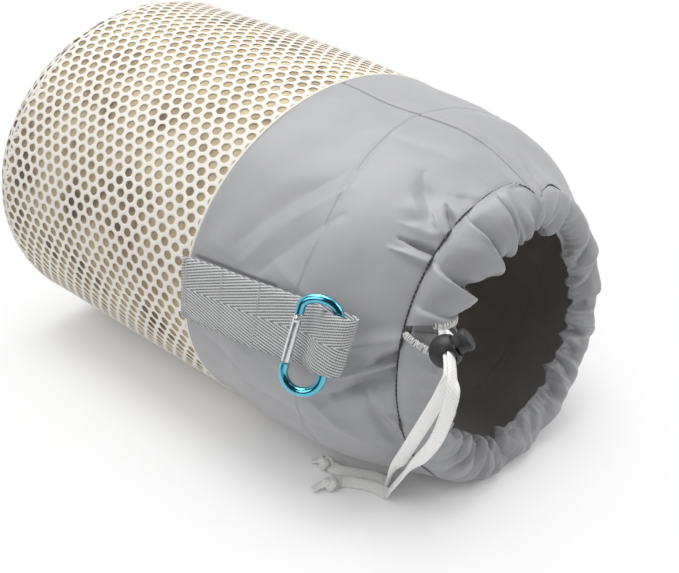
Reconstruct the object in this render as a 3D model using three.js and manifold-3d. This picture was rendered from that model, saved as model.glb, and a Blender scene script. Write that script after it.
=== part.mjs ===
// A peg bag lying on its side: hexagon-net body, cloth collar, gathered drawstring mouth,
// cord lock, and a webbing loop that carries a spring-gate carabiner.
// Millimetres. X runs from the base to the mouth, Z is up and the strap is on the -Y side.
// The origin is on the floor under the middle of the bag.

import * as THREE from "three";
import { mergeVertices } from "three/addons/utils/BufferGeometryUtils.js";
import Module from "manifold-3d";

const wasm = await Module();
wasm.setup();

// Free space left between two pieces that touch.
const GAP = 0.3;

// Lengths along the bag.
const BASE_BULGE = 5;
const NET_LENGTH = 184;
const COLLAR_LENGTH = 119;
const CASING_DEPTH = 18;
const BAG_LENGTH = BASE_BULGE + NET_LENGTH + COLLAR_LENGTH + CASING_DEPTH;
const BASE_X = BASE_BULGE - BAG_LENGTH / 2;
const SEAM_X = BASE_X + NET_LENGTH;
const STITCH_X = SEAM_X + COLLAR_LENGTH;

// Half widths and heights of the lying bag, and how deep the underside is pressed flat.
const NET_HALF_WIDTH = 114.5;
const NET_HEIGHT = 191;
const BASE_HALF_WIDTH = NET_HALF_WIDTH - 1.5;
const BASE_HEIGHT = NET_HEIGHT;
const SEAM_HALF_WIDTH = 114;
const SEAM_HEIGHT = 185;
const SHOULDER_HALF_WIDTH = 111;
const SHOULDER_HEIGHT = 175;
const SHOULDER_REACH = 78;
const MOUTH_RADIUS = 82.6;
const FLAT_DEPTH = 3.6;
const MOUTH_LEAN = 0.07;
const BASE_CORNER = 14;

// Cloth thicknesses.
const NET_THICK = 2.4;
const COLLAR_THICK = 1.2;
const TAPE_THICK = 0.8;
const TAPE_WIDTH = 11;

// Openings of the net, in a grid that is coarser than the knitted cells.
const NET_COLUMNS = 12;
const NET_ROWS = 4;
const NET_STRAND = 13;

// Gathers of the collar and of the casing.
const PLEATS = 12;
const PLEAT_DEPTH = 2.4;
const PLEAT_REACH = 52;
const RUFFLES = 15;
const RUFFLE_DEPTH = 3;
const MOUTH_INNER_RADIUS = 56;
const SLIT_ANGLE = 68;
const SLIT_HALF_WIDTH = 8;
const OVERLOCK_WIDTH = 2.2;

// Flat drawstring and the two knots at its ends.
const CORD_WIDTH = 6.5;
const CORD_THICK = 1.8;
const CORD_RADIUS = 68;
const CORD_DEPTH = 9;
const CORD_DEPTH_FAR = 4.2;
const KNOT_LENGTH = 13;
const KNOT_WIDTH = 11;
const KNOT_HEIGHT = 9;

// Ball cord lock with a sprung plunger.
const LOCK_CENTRE = new THREE.Vector3(SEAM_X + 146.5, -80, 114);
const LOCK_AXIS = new THREE.Vector3(0.601, 0.546, 0.584);
const LOCK_CORD_WAY = new THREE.Vector3(0.687, -0.727, -0.027);
const LOCK_RADIUS = 8;
const LOCK_TOP = 5.5;
const LOCK_BOTTOM = -7.4;
const PLUNGER_RADIUS = 4.7;
const PLUNGER_TRAVEL = 2.5;
const PLUNGER_BRIDGE = 1.5;
const PLUNGER_OUT = 7.5;
const LOCK_FLOOR = -6.6;
const LOCK_SPRING_RADIUS = 2.6;
const LOCK_SPRING_WIRE = 0.7;
const LOCK_SPRING_TURNS = 2.5;
const LOCK_SLIDE = 8;

// Webbing strap.
const STRAP_WIDTH = 32;
const STRAP_THICK = 1.6;
const STRAP_LENGTH = 113;
const STRAP_SKEW = 6;
const STRAP_TAPER = 3;
const STRAP_SEWN = 62;
const STRAP_START_ANGLE = 81.5;
const STRAP_END_ANGLE = 76;

// Carabiner.
const ROD = 4.6;
const CARABINER_LENGTH = 51.5;
const CARABINER_SPACING = 18.6;
const CARABINER_TILT = 25;
const CARABINER_RISE = 21.3;
const CARABINER_CROWN = 6.5;
const SPINE_SETBACK = 9.5;
const SPINE_REACH = STRAP_LENGTH - SPINE_SETBACK;
const SPINE_PLAY = 1.3;
const GATE_HINGE = 6.5;
const GATE_END = -15.8;
const TONGUE_THICK = 2;
const RIVET_RADIUS = 0.8;
const LATCH_PIN_RADIUS = 0.7;
const LATCH_AT = 2.8;
const GATE_BORE_RADIUS = 1.6;
const GATE_SPRING_WIRE = 0.45;
const GATE_SPRING_TURNS = 7;

const AROUND = 36;
const radians = THREE.MathUtils.degToRad;
const lerp = THREE.MathUtils.lerp;

// Closed body from shared vertices, turned so that its faces look outwards.
function closedBody(vertices, triangles) {
  let volume = 0;
  for (const [a, b, c] of triangles) {
    volume += vertices[a].dot(vertices[b].clone().cross(vertices[c]));
  }
  const index = triangles.flatMap(([a, b, c]) => (volume > 0 ? [a, b, c] : [a, c, b]));
  const geometry = new THREE.BufferGeometry();
  geometry.setAttribute(
    "position",
    new THREE.Float32BufferAttribute(vertices.flatMap((v) => v.toArray()), 3),
  );
  geometry.setIndex(index);
  return geometry;
}

// Cloth of real thickness between an outer and an inner grid of points; open cells are left out.
function thickSheet(outer, inner, wrap, isOpen = () => false) {
  const rows = outer.length;
  const columns = outer[0].length;
  const cells = wrap ? columns : columns - 1;
  const vertices = [...outer.flat(), ...inner.flat()];
  const at = (side, i, j) => side * rows * columns + i * columns + (j % columns);
  const solid = (i, j) => {
    if (i < 0 || i >= rows - 1) return false;
    if (!wrap && (j < 0 || j >= cells)) return false;
    return !isOpen(i, (j + cells) % cells);
  };
  const triangles = [];
  const quad = (a, b, c, d) => triangles.push([a, b, c], [a, c, d]);
  const rim = (i, j, k, l) => quad(at(0, i, j), at(0, k, l), at(1, k, l), at(1, i, j));
  for (let i = 0; i < rows - 1; i++) {
    for (let j = 0; j < cells; j++) {
      if (!solid(i, j)) continue;
      quad(at(0, i, j), at(0, i + 1, j), at(0, i + 1, j + 1), at(0, i, j + 1));
      quad(at(1, i, j), at(1, i, j + 1), at(1, i + 1, j + 1), at(1, i + 1, j));
      if (!solid(i - 1, j)) rim(i, j, i, j + 1);
      if (!solid(i, j + 1)) rim(i, j + 1, i + 1, j + 1);
      if (!solid(i + 1, j)) rim(i + 1, j + 1, i + 1, j);
      if (!solid(i, j - 1)) rim(i + 1, j, i, j);
    }
  }
  return closedBody(vertices, triangles);
}

// Bar through a row of equal loops, closed at both ends.
function loft(loops) {
  const sides = loops[0].length;
  const end = loops.length - 1;
  const vertices = loops.flat();
  const triangles = [];
  for (let i = 0; i < end; i++) {
    for (let j = 0; j < sides; j++) {
      const k = (j + 1) % sides;
      triangles.push([i * sides + j, (i + 1) * sides + j, (i + 1) * sides + k]);
      triangles.push([i * sides + j, (i + 1) * sides + k, i * sides + k]);
    }
  }
  for (const row of [0, end]) {
    const centre = new THREE.Vector3();
    loops[row].forEach((v) => centre.add(v));
    const hub = vertices.push(centre.divideScalar(sides)) - 1;
    for (let j = 0; j < sides; j++) {
      const pair = [row * sides + j, row * sides + ((j + 1) % sides)];
      triangles.push(row === 0 ? [hub, ...pair] : [hub, pair[1], pair[0]]);
    }
  }
  return closedBody(vertices, triangles);
}

// Oval loop of a bar: full sizes across two directions.
function ovalLoop(centre, wide, width, high, height, sides) {
  return Array.from({ length: sides }, (_, k) => {
    const turn = ((k + 0.5) / sides) * 2 * Math.PI;
    return centre
      .clone()
      .addScaledVector(wide, (Math.cos(turn) * width) / 2)
      .addScaledVector(high, (Math.sin(turn) * height) / 2);
  });
}

function toManifold(geometry) {
  const plain = geometry.clone();
  plain.deleteAttribute("normal");
  plain.deleteAttribute("uv");
  const merged = mergeVertices(plain, 1e-4);
  const source = Array.from(merged.index.array);
  const kept = [];
  for (let i = 0; i < source.length; i += 3) {
    const [a, b, c] = source.slice(i, i + 3);
    if (a !== b && b !== c && c !== a) kept.push(a, b, c);
  }
  return new wasm.Manifold(
    new wasm.Mesh({
      numProp: 3,
      vertProperties: new Float32Array(merged.attributes.position.array),
      triVerts: new Uint32Array(kept),
    }),
  );
}

function fromManifold(body) {
  const mesh = body.getMesh();
  const geometry = new THREE.BufferGeometry();
  geometry.setAttribute("position", new THREE.Float32BufferAttribute(mesh.vertProperties, 3));
  geometry.setIndex(Array.from(mesh.triVerts));
  return geometry;
}

function combine(base, added, removed) {
  let body = toManifold(base);
  for (const piece of added) body = body.add(toManifold(piece));
  for (const piece of removed) body = body.subtract(toManifold(piece));
  return fromManifold(body);
}

const bag = new THREE.Group();
bag.name = "peg_bag";

function addPiece(name, geometry, color, roughness, metalness) {
  const material = new THREE.MeshStandardMaterial({ color, roughness, metalness });
  const mesh = new THREE.Mesh(geometry, material);
  mesh.name = name;
  bag.add(mesh);
  return mesh;
}

// Section of the lying bag: width and height along X, with a flat underside.
const NET_START_X = BASE_X + BASE_CORNER;
const profile = new THREE.CatmullRomCurve3([
  new THREE.Vector3(NET_START_X, BASE_HALF_WIDTH, BASE_HEIGHT),
  new THREE.Vector3(BASE_X + NET_LENGTH * 0.46, NET_HALF_WIDTH, NET_HEIGHT),
  new THREE.Vector3(SEAM_X, SEAM_HALF_WIDTH, SEAM_HEIGHT),
  new THREE.Vector3(SEAM_X + SHOULDER_REACH, SHOULDER_HALF_WIDTH, SHOULDER_HEIGHT),
  new THREE.Vector3(STITCH_X, MOUTH_RADIUS, 2 * MOUTH_RADIUS - FLAT_DEPTH),
]);

function sectionAt(x) {
  let low = 0;
  let high = 1;
  for (let step = 0; step < 40; step++) {
    const middle = (low + high) / 2;
    if (profile.getPoint(middle).x < x) low = middle;
    else high = middle;
  }
  const found = profile.getPoint((low + high) / 2);
  return { x, halfWidth: found.y, height: found.z };
}

// Point of the wall at an angle from the top, positive towards the strap side.
function wallPoint(x, angle, inset) {
  const { halfWidth, height } = sectionAt(x);
  const middle = (height - FLAT_DEPTH) / 2;
  const half = (height + FLAT_DEPTH) / 2;
  const gather = Math.max(0, (x - STITCH_X + PLEAT_REACH) / PLEAT_REACH) ** 2;
  const dip = inset + PLEAT_DEPTH * gather * (0.5 - 0.5 * Math.cos(PLEATS * angle));
  const y = -(halfWidth - dip) * Math.sin(angle);
  const z = Math.max(middle + (half - dip) * Math.cos(angle), inset);
  const lean = MOUTH_LEAN * Math.max(0, (x - SEAM_X) / COLLAR_LENGTH);
  return new THREE.Vector3(x - lean * (z - middle), y, z);
}

function spread(from, to, steps) {
  return Array.from({ length: steps + 1 }, (_, k) => lerp(from, to, k / steps));
}

const fullTurn = spread(0, 2 * Math.PI, AROUND).slice(0, AROUND);

function wallGrid(stations, angles, inset) {
  return stations.map((x) => angles.map((angle) => wallPoint(x, angle, inset)));
}

// Net wall, net base and the tapes that bind the two round seams on the inside.
const NET_FREE_FROM = NET_START_X + TAPE_WIDTH;
const rowPitch = (SEAM_X - TAPE_WIDTH / 2 - NET_FREE_FROM) / NET_ROWS;
const columnPitch = (2 * Math.PI) / NET_COLUMNS;
const strandHalf = NET_STRAND / (NET_HALF_WIDTH + NET_HEIGHT / 2);
const HOLE_STEPS = 3;
const netStations = [
  NET_START_X + GAP / 2,
  ...Array.from({ length: NET_ROWS }, (_, row) => NET_FREE_FROM + rowPitch * row).flatMap(
    (low) => [low + NET_STRAND / 2, low + rowPitch - NET_STRAND / 2],
  ),
  SEAM_X - GAP / 2,
];
const netAngles = Array.from({ length: NET_COLUMNS }, (_, column) => columnPitch * column).flatMap(
  (from) => spread(from + strandHalf, from + columnPitch - strandHalf, HOLE_STEPS),
);
const netOpening = (i, j) => i % 2 === 1 && j % (HOLE_STEPS + 1) < HOLE_STEPS;
addPiece(
  "net_wall",
  thickSheet(
    wallGrid(netStations, netAngles, 0), wallGrid(netStations, netAngles, NET_THICK), true, netOpening,
  ),
  0xe9e4d8, 0.9, 0,
);

const BASE_FLAT = 0.8;
function basePoint(u, v, inset) {
  const across = u * Math.sqrt(1 - (v * v) / 2);
  const upward = v * Math.sqrt(1 - (u * u) / 2);
  const reach = Math.hypot(across, upward);
  const corner = BASE_CORNER / BASE_HALF_WIDTH;
  const bend = (Math.max(0, reach - BASE_FLAT) / (1 - BASE_FLAT)) * (Math.PI / 2);
  const flat = Math.min(1, reach / BASE_FLAT);
  const radius = (1 - corner) * flat + corner * Math.sin(bend);
  const scale = reach > 0 ? radius / reach : 0;
  const middle = (BASE_HEIGHT - FLAT_DEPTH) / 2;
  const half = (BASE_HEIGHT + FLAT_DEPTH) / 2;
  const dish = BASE_BULGE * (1 - flat * flat);
  const keep = 1 - inset / BASE_HALF_WIDTH;
  const z = Math.max(middle + half * upward * scale * keep, inset);
  const depth = (BASE_CORNER - inset) * (1 - Math.cos(bend)) + inset;
  return new THREE.Vector3(BASE_X - dish + depth, -BASE_HALF_WIDTH * across * scale * keep, z);
}

function baseGrid(inset) {
  const steps = spread(-1, 1, 14);
  return steps.map((u) => steps.map((v) => basePoint(u, v, inset)));
}

addPiece("net_base", thickSheet(baseGrid(0), baseGrid(NET_THICK), false), 0xe9e4d8, 0.9, 0);

function addTape(name, x, inset) {
  const stations = [x - TAPE_WIDTH / 2, x + TAPE_WIDTH / 2].map((at) => Math.max(at, NET_START_X));
  const outer = wallGrid(stations, fullTurn, inset);
  const inner = wallGrid(stations, fullTurn, inset + TAPE_THICK);
  addPiece(name, thickSheet(outer, inner, true), 0xf2f0ea, 0.9, 0);
}

addTape("collar_seam_tape", SEAM_X, NET_THICK + GAP);
addTape("base_seam_tape", NET_START_X + TAPE_WIDTH / 2, NET_THICK + GAP);

// Collar cloth in two halves that meet at a seam on top and one underneath.
const collarStations = [...spread(SEAM_X + GAP / 2, STITCH_X - PLEAT_REACH, 4),
  ...spread(STITCH_X - PLEAT_REACH, STITCH_X - GAP, 6).slice(1)];
const seamAngle = GAP / (2 * SHOULDER_HALF_WIDTH);
const collarSteps = 30;
for (const [name, from] of [["collar_front", 0], ["collar_back", Math.PI]]) {
  const angles = spread(from + seamAngle, from + Math.PI - seamAngle, collarSteps);
  const outer = wallGrid(collarStations, angles, 0);
  const inner = wallGrid(collarStations, angles, COLLAR_THICK);
  addPiece(name, thickSheet(outer, inner, false), 0x8b8d90, 0.6, 0);
}

// Drawstring casing: the folded hem, a gathered tunnel round the mouth with one slit.
const MOUTH_CENTRE_Z = MOUTH_RADIUS - FLAT_DEPTH;
const INNER = MOUTH_INNER_RADIUS - MOUTH_RADIUS;
const nearSection = [
  [-1.2, 0, 0], [1, 5, 0.1], [-0.5, 11, 0.4], [-6, 16, 0.8], [-14, CASING_DEPTH, 1],
  [INNER + 5, 16, 1], [INNER, 11, 1], [INNER, 6, 0.8], [INNER + 5, 2.5, 0.4], [-13, 0.6, 0.1],
];
const farSection = [
  [-1.8, 0, 0], [-3, 3, 0.1], [-5.5, 6, 0.4], [-10, 8.5, 0.8], [-15, 9, 1],
  [INNER + 5, 7.5, 1], [INNER, 3, 1], [INNER, -1.5, 0.8], [INNER + 5, -3.5, 0.4], [-13, 0.4, 0.1],
];
const nearMiddle = new THREE.Vector2(INNER / 2, CASING_DEPTH / 2);
const farMiddle = new THREE.Vector2(INNER / 2, CORD_DEPTH_FAR);

// Share of the far side's section, where the hem tucks in: 0 by the strap and 1 away from it.
function farShare(angle) {
  return THREE.MathUtils.smoothstep(0.5 - 0.5 * Math.sin(angle + radians(20)), 0.25, 0.8);
}

function ringPoint(angle, radius, depth, floor) {
  const z = Math.max(MOUTH_CENTRE_Z + radius * Math.cos(angle), floor);
  const x = STITCH_X + depth - MOUTH_LEAN * (z - MOUTH_CENTRE_Z);
  return new THREE.Vector3(x, -radius * Math.sin(angle), z);
}

function casingRow(angle, inset) {
  const wave = Math.cos(RUFFLES * angle) * RUFFLE_DEPTH;
  const far = farShare(angle);
  const middle = nearMiddle.clone().lerp(farMiddle, far);
  return nearSection.map((near, k) => {
    const [out, depth, weight] = near.map((value, axis) => lerp(value, farSection[k][axis], far));
    const toMiddle = middle.clone().sub(new THREE.Vector2(out, depth)).setLength(inset);
    const radius = MOUTH_RADIUS + out + toMiddle.x + wave * weight * 0.6;
    return ringPoint(angle, radius, depth + toMiddle.y + wave * weight * 0.4, inset);
  });
}

function casingBody(from, to, steps) {
  const angles = spread(from, to, steps);
  const outer = angles.map((angle) => casingRow(angle, 0));
  const inner = angles.map((angle) => casingRow(angle, COLLAR_THICK));
  return thickSheet(outer, inner, true);
}

const slit = radians(SLIT_ANGLE);
const slitHalf = SLIT_HALF_WIDTH / CORD_RADIUS;
const overlock = OVERLOCK_WIDTH / CORD_RADIUS;
const step = GAP / CORD_RADIUS;
const casingSteps = RUFFLES * 4;
addPiece(
  "drawstring_casing",
  casingBody(slit + slitHalf, slit + 2 * Math.PI - slitHalf, casingSteps),
  0x85878a, 0.6, 0,
);
addPiece(
  "slit_overlock_lower",
  casingBody(slit + slitHalf - step - overlock, slit + slitHalf - step, 1),
  0xf4f3ef, 0.95, 0,
);
addPiece(
  "slit_overlock_upper",
  casingBody(slit - slitHalf + step, slit - slitHalf + step + overlock, 1),
  0xf4f3ef, 0.95, 0,
);

// Drawstring: one stretch inside the casing and two tails out of the slit.
const outward = (angle) => new THREE.Vector3(0, -Math.sin(angle), Math.cos(angle));

function cordLoops(points, hints, steps) {
  const curve = new THREE.CatmullRomCurve3(points);
  return Array.from({ length: steps + 1 }, (_, k) => {
    const along = curve.getUtoTmapping(k / steps);
    const place = along * (points.length - 1);
    const low = Math.min(Math.floor(place), points.length - 2);
    const way = curve.getTangent(along).normalize();
    const wide = hints[low].clone().lerp(hints[low + 1], place - low);
    wide.addScaledVector(way, -wide.dot(way)).normalize();
    const high = way.clone().cross(wide);
    return ovalLoop(curve.getPoint(along), wide, CORD_WIDTH, high, CORD_THICK, 8);
  });
}

const cordEnd = slitHalf * 1.7;
const loopAngles = spread(slit + cordEnd, slit + 2 * Math.PI - cordEnd, 48);
addPiece(
  "drawstring_loop",
  loft(loopAngles.map((angle) => {
    const along = new THREE.Vector3(1, 0, 0);
    const depth = lerp(CORD_DEPTH, CORD_DEPTH_FAR, farShare(angle));
    const centre = ringPoint(angle, CORD_RADIUS, depth, 0);
    return ovalLoop(centre, outward(angle), CORD_WIDTH, along, CORD_THICK, 8);
  })),
  0xf1f0ec, 0.9, 0,
);

const lockUp = LOCK_AXIS.clone().normalize();
const lockWay = LOCK_CORD_WAY.clone();
lockWay.addScaledVector(lockUp, -lockWay.dot(lockUp)).normalize();
const lockSide = lockUp.clone().cross(lockWay);
const CORD_STACK = 2 * CORD_THICK + GAP;
const SLOT_LOW = -CORD_STACK / 2 + CORD_THICK - GAP / 2;
const CORD_LEVEL = SLOT_LOW - 0.2 + CORD_STACK / 2;

function lockPoint(up, way) {
  return LOCK_CENTRE.clone().addScaledVector(lockUp, up).addScaledVector(lockWay, way);
}

const FLOOR_LEVEL = CORD_THICK / 2 + 0.3;
const TAIL_FACE = new THREE.Vector3(-0.8, -0.5, 0.4);
const tails = [
  {
    name: "upper", side: 1, from: slit - cordEnd + step,
    path: [[162.5, -94, 113], [165.5, -97, 108], [163, -98, 94], [155, -95, 76], [142, -89.5, 57],
      [126, -83.5, 36], [112, -77, 18], [98, -69, FLOOR_LEVEL + 1.4], [91, -69.8, FLOOR_LEVEL],
      [84, -71.8, FLOOR_LEVEL], [79.5, -74.5, FLOOR_LEVEL + 0.8]],
    knot: [75.4, -84.4],
  },
  {
    name: "lower", side: -1, from: slit + cordEnd - step,
    path: [[160, -94.2, 111.5], [159, -96.2, 105], [152.5, -96, 91], [140, -92, 69], [125, -85, 45],
      [109, -74.5, 23], [92, -61.5, FLOOR_LEVEL + 1.4], [85, -60.8, FLOOR_LEVEL],
      [76, -63.5, FLOOR_LEVEL], [70, -66.8, FLOOR_LEVEL + 0.8]],
    knot: [61.3, -73.6],
  },
];

for (const tail of tails) {
  const level = CORD_LEVEL + (tail.side * (CORD_THICK + GAP)) / 2;
  const points = [
    ringPoint(tail.from, CORD_RADIUS, CORD_DEPTH, 0),
    ringPoint(slit - tail.side * slitHalf, CORD_RADIUS, CORD_DEPTH, 0),
    ringPoint(slit - tail.side * slitHalf * 0.4, CORD_RADIUS + 2, CORD_DEPTH + 5, 0),
    lockPoint(level + 0.6 * tail.side, -LOCK_RADIUS - 3),
    lockPoint(level, -LOCK_RADIUS),
    lockPoint(level, 0),
    lockPoint(level, LOCK_RADIUS),
    lockPoint(level, LOCK_RADIUS + LOCK_SLIDE),
    ...tail.path.map(([x, y, z]) => new THREE.Vector3(SEAM_X + x, y, z)),
  ];
  const knotCentre = new THREE.Vector3(SEAM_X + tail.knot[0], tail.knot[1], KNOT_HEIGHT / 2);
  const pull = points.at(-1).clone().sub(knotCentre).setZ(0).normalize();
  points.push(knotCentre.clone().addScaledVector(pull, KNOT_LENGTH / 2 + GAP).setZ(KNOT_HEIGHT * 0.45));
  const hints = points.map((point, k) => {
    if (k < 3) return outward(slit);
    if (k < 9) return lockSide.clone().negate();
    return point.z > 4 * KNOT_HEIGHT ? TAIL_FACE : new THREE.Vector3(0, -1, 0);
  });
  const cord = loft(cordLoops(points, hints, 44));
  addPiece(`drawstring_tail_${tail.name}`, cord, 0xf1f0ec, 0.9, 0);

  const knot = new THREE.SphereGeometry(0.5, 12, 8);
  knot.scale(KNOT_LENGTH, KNOT_WIDTH, KNOT_HEIGHT);
  knot.rotateZ(Math.atan2(pull.y, pull.x));
  knot.translate(...knotCentre.toArray());
  addPiece(`drawstring_knot_${tail.name}`, fromManifold(toManifold(knot)), 0xf1f0ec, 0.9, 0);
}

// Cord lock: ball with a blind bore, plunger with a cord slot, and the spring under it.
const lockFrame = new THREE.Matrix4().makeBasis(lockSide, lockUp, lockWay).setPosition(LOCK_CENTRE);
const HOLE_WIDTH = CORD_WIDTH + 2 * GAP;
const CORD_LOW = CORD_LEVEL - CORD_STACK / 2;
const CORD_HIGH = CORD_LEVEL + CORD_STACK / 2;
const PLUNGER_LOW = CORD_LOW - GAP - PLUNGER_BRIDGE;
const BORE_RADIUS = PLUNGER_RADIUS + GAP;
const BORE_LOW = PLUNGER_LOW - PLUNGER_TRAVEL - GAP;

function lathe(profilePoints, sides) {
  return new THREE.LatheGeometry(profilePoints.map(([r, h]) => new THREE.Vector2(r, h)), sides);
}

function slotBox(width, low, high, length) {
  const box = new THREE.BoxGeometry(width, high - low, length);
  return box.translate(0, (low + high) / 2, 0);
}

const ballRise = spread(Math.asin(LOCK_BOTTOM / LOCK_RADIUS), Math.asin(LOCK_TOP / LOCK_RADIUS), 8);
const ball = lathe([
  [0, LOCK_BOTTOM],
  ...ballRise.map((rise) => [LOCK_RADIUS * Math.cos(rise), LOCK_RADIUS * Math.sin(rise)]),
  [BORE_RADIUS, LOCK_TOP],
  [BORE_RADIUS, BORE_LOW],
  [LOCK_SPRING_RADIUS + 0.8, BORE_LOW],
  [LOCK_SPRING_RADIUS + 0.8, LOCK_FLOOR],
  [0, LOCK_FLOOR],
], 24);
const cordHole = slotBox(HOLE_WIDTH, CORD_LOW - GAP, CORD_HIGH + GAP, 4 * LOCK_RADIUS);
addPiece("cord_lock_ball", combine(ball, [], [cordHole]).applyMatrix4(lockFrame), 0x1b1b1d, 0.35, 0);

const PLUNGER_HIGH = LOCK_TOP + PLUNGER_OUT;
const plunger = lathe([
  [0, PLUNGER_LOW], [PLUNGER_RADIUS - 0.6, PLUNGER_LOW], [PLUNGER_RADIUS, PLUNGER_LOW + 0.6],
  [PLUNGER_RADIUS, PLUNGER_HIGH - 1.6], [PLUNGER_RADIUS - 0.5, PLUNGER_HIGH - 0.6],
  [PLUNGER_RADIUS - 1.6, PLUNGER_HIGH], [0, PLUNGER_HIGH],
], 20);
const plungerSlot = slotBox(HOLE_WIDTH, CORD_LOW - GAP, CORD_HIGH + GAP + PLUNGER_TRAVEL, 30);
addPiece(
  "cord_lock_plunger",
  combine(plunger, [], [plungerSlot]).applyMatrix4(lockFrame),
  0x232326, 0.4, 0,
);

function coil(radius, wire, turns, low, high, perTurn, sides) {
  const steps = Math.round(turns * perTurn);
  return loft(Array.from({ length: steps + 1 }, (_, k) => {
    const turn = (k / steps) * turns * 2 * Math.PI;
    const out = new THREE.Vector3(Math.cos(turn), 0, Math.sin(turn));
    const centre = out.clone().multiplyScalar(radius).setY(lerp(low, high, k / steps));
    return ovalLoop(centre, out, wire, new THREE.Vector3(0, 1, 0), wire, sides);
  }));
}

const lockSpring = coil(
  LOCK_SPRING_RADIUS, LOCK_SPRING_WIRE, LOCK_SPRING_TURNS,
  LOCK_FLOOR + GAP + LOCK_SPRING_WIRE / 2, PLUNGER_LOW - GAP - LOCK_SPRING_WIRE / 2, 12, 6,
);
addPiece("cord_lock_spring", lockSpring.applyMatrix4(lockFrame), 0xc9ccd0, 0.3, 1);

// Webbing strap: doubled, sewn to the collar near the seam, its far end a free loop.
function strapFrame(reach) {
  const sewn = Math.min(reach, STRAP_SEWN);
  const x = SEAM_X + GAP + sewn;
  const angle = radians(lerp(STRAP_START_ANGLE, STRAP_END_ANGLE, sewn / STRAP_SEWN));
  const slope = radians((STRAP_END_ANGLE - STRAP_START_ANGLE) / STRAP_SEWN);
  const point = wallPoint(x, angle, 0);
  const way = wallPoint(x + 2, angle + slope * 2, 0).sub(wallPoint(x - 2, angle - slope * 2, 0));
  way.normalize();
  const round = wallPoint(x, angle - 0.02, 0).sub(wallPoint(x, angle + 0.02, 0));
  const out = way.clone().cross(round).normalize();
  if (out.y > 0) out.negate();
  const up = out.clone().cross(way).normalize();
  if (up.z < 0) up.negate();
  point.addScaledVector(way, reach - sewn);
  return { point, way, out, up };
}

// Share of the strap's free end up to a reach: the end leans and is bunched a little narrower.
function strapFree(reach) {
  return THREE.MathUtils.clamp((reach - STRAP_SEWN) / (STRAP_LENGTH - STRAP_SEWN), 0, 1);
}

// Lean of the strap's fold, as a slope along the strap for each mm of width.
function strapSlope(reach) {
  return (strapFree(reach) * STRAP_SKEW) / STRAP_WIDTH;
}

const STRAP_LOW = GAP + 0.1 + STRAP_THICK / 2;
const STRAP_TOP = STRAP_LOW + STRAP_THICK + GAP;
const SPINE_LEVEL = STRAP_LOW + STRAP_THICK / 2 + SPINE_PLAY + ROD / 2;
const LOOP_TOP = SPINE_LEVEL + ROD / 2 + SPINE_PLAY + STRAP_THICK / 2;
const LOOP_RADIUS = (LOOP_TOP - STRAP_LOW) / 2;
const LOOP_END = STRAP_LENGTH - STRAP_THICK / 2 - LOOP_RADIUS;
const strapLine = [
  ...spread(GAP, STRAP_SEWN, 5).map((reach) => [reach, STRAP_LOW]),
  [LOOP_END, STRAP_LOW],
  ...spread(-60, 60, 4).map((turn) => [
    LOOP_END + LOOP_RADIUS * Math.cos(radians(turn)),
    STRAP_LOW + LOOP_RADIUS * (1 + Math.sin(radians(turn))),
  ]),
  [LOOP_END, LOOP_TOP],
  [SPINE_REACH - 4, LOOP_TOP],
  [SPINE_REACH - 7, LOOP_TOP - 2],
  [SPINE_REACH - 11, STRAP_TOP + 2],
  [SPINE_REACH - 14, STRAP_TOP],
  ...spread(STRAP_SEWN, GAP, 5).map((reach) => [reach, STRAP_TOP]),
];
const strapLoops = strapLine.map(([reach, level], k) => {
  const before = strapLine[Math.max(0, k - 1)];
  const after = strapLine[Math.min(strapLine.length - 1, k + 1)];
  const into = new THREE.Vector2(reach - before[0], level - before[1]).normalize();
  const onward = new THREE.Vector2(after[0] - reach, after[1] - level).normalize();
  const run = into.clone().add(onward).normalize();
  const half = STRAP_THICK / 2 / Math.max(0.6, Math.max(run.dot(into), run.dot(onward)));
  const corner = (across, side) => {
    const frame = strapFrame(reach - run.y * half * side);
    const aside = (across * (STRAP_WIDTH - STRAP_TAPER * strapFree(reach))) / 2;
    return frame.point
      .addScaledVector(frame.out, level + run.x * half * side)
      .addScaledVector(frame.up, aside)
      .addScaledVector(frame.way, aside * strapSlope(reach));
  };
  return [corner(-1, -1), corner(1, -1), corner(1, 1), corner(-1, 1)];
});
addPiece("webbing_strap", loft(strapLoops), 0x9a9c9e, 0.85, 0);

// Carabiner frame: X from the spine to the gate, Y up the spine, Z through the plate.
const seat = strapFrame(SPINE_REACH);
const tilt = radians(CARABINER_TILT);
const spineUp = seat.up.clone().addScaledVector(seat.way, strapSlope(SPINE_REACH)).normalize();
const toGate = seat.way.clone().multiplyScalar(-Math.cos(tilt)).addScaledVector(seat.out, Math.sin(tilt));
toGate.addScaledVector(spineUp, -toGate.dot(spineUp)).normalize();
const through = toGate.clone().cross(spineUp);
const spineFoot = seat.point.clone().addScaledVector(seat.out, SPINE_LEVEL);
const carabinerFrame = new THREE.Matrix4().makeBasis(toGate, spineUp, through).setPosition(spineFoot);

const BEND = CARABINER_SPACING / 2;
const TOP_BEND = CARABINER_RISE - ROD / 2 - CARABINER_CROWN;
const ARM_END = GATE_HINGE + ROD / 2 + GAP + 0.1;
const LOW_BEND = CARABINER_RISE - CARABINER_LENGTH + ROD / 2 + BEND;
const NOSE_END = GATE_END - GAP - 0.1;
const rodLine = [
  [CARABINER_SPACING, NOSE_END, 90],
  ...spread(0, -180, 10).map((turn) => [
    BEND + BEND * Math.cos(radians(turn)), LOW_BEND + BEND * Math.sin(radians(turn)), turn,
  ]),
  ...spread(180, 0, 10).map((turn) => {
    const across = Math.cos(radians(turn));
    const upward = Math.sin(radians(turn));
    const facing = THREE.MathUtils.radToDeg(Math.atan2(upward / CARABINER_CROWN, across / BEND));
    return [BEND + BEND * across, TOP_BEND + CARABINER_CROWN * upward, facing];
  }),
  [CARABINER_SPACING, ARM_END, 0],
];
rodLine[0][2] = 0;
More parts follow.
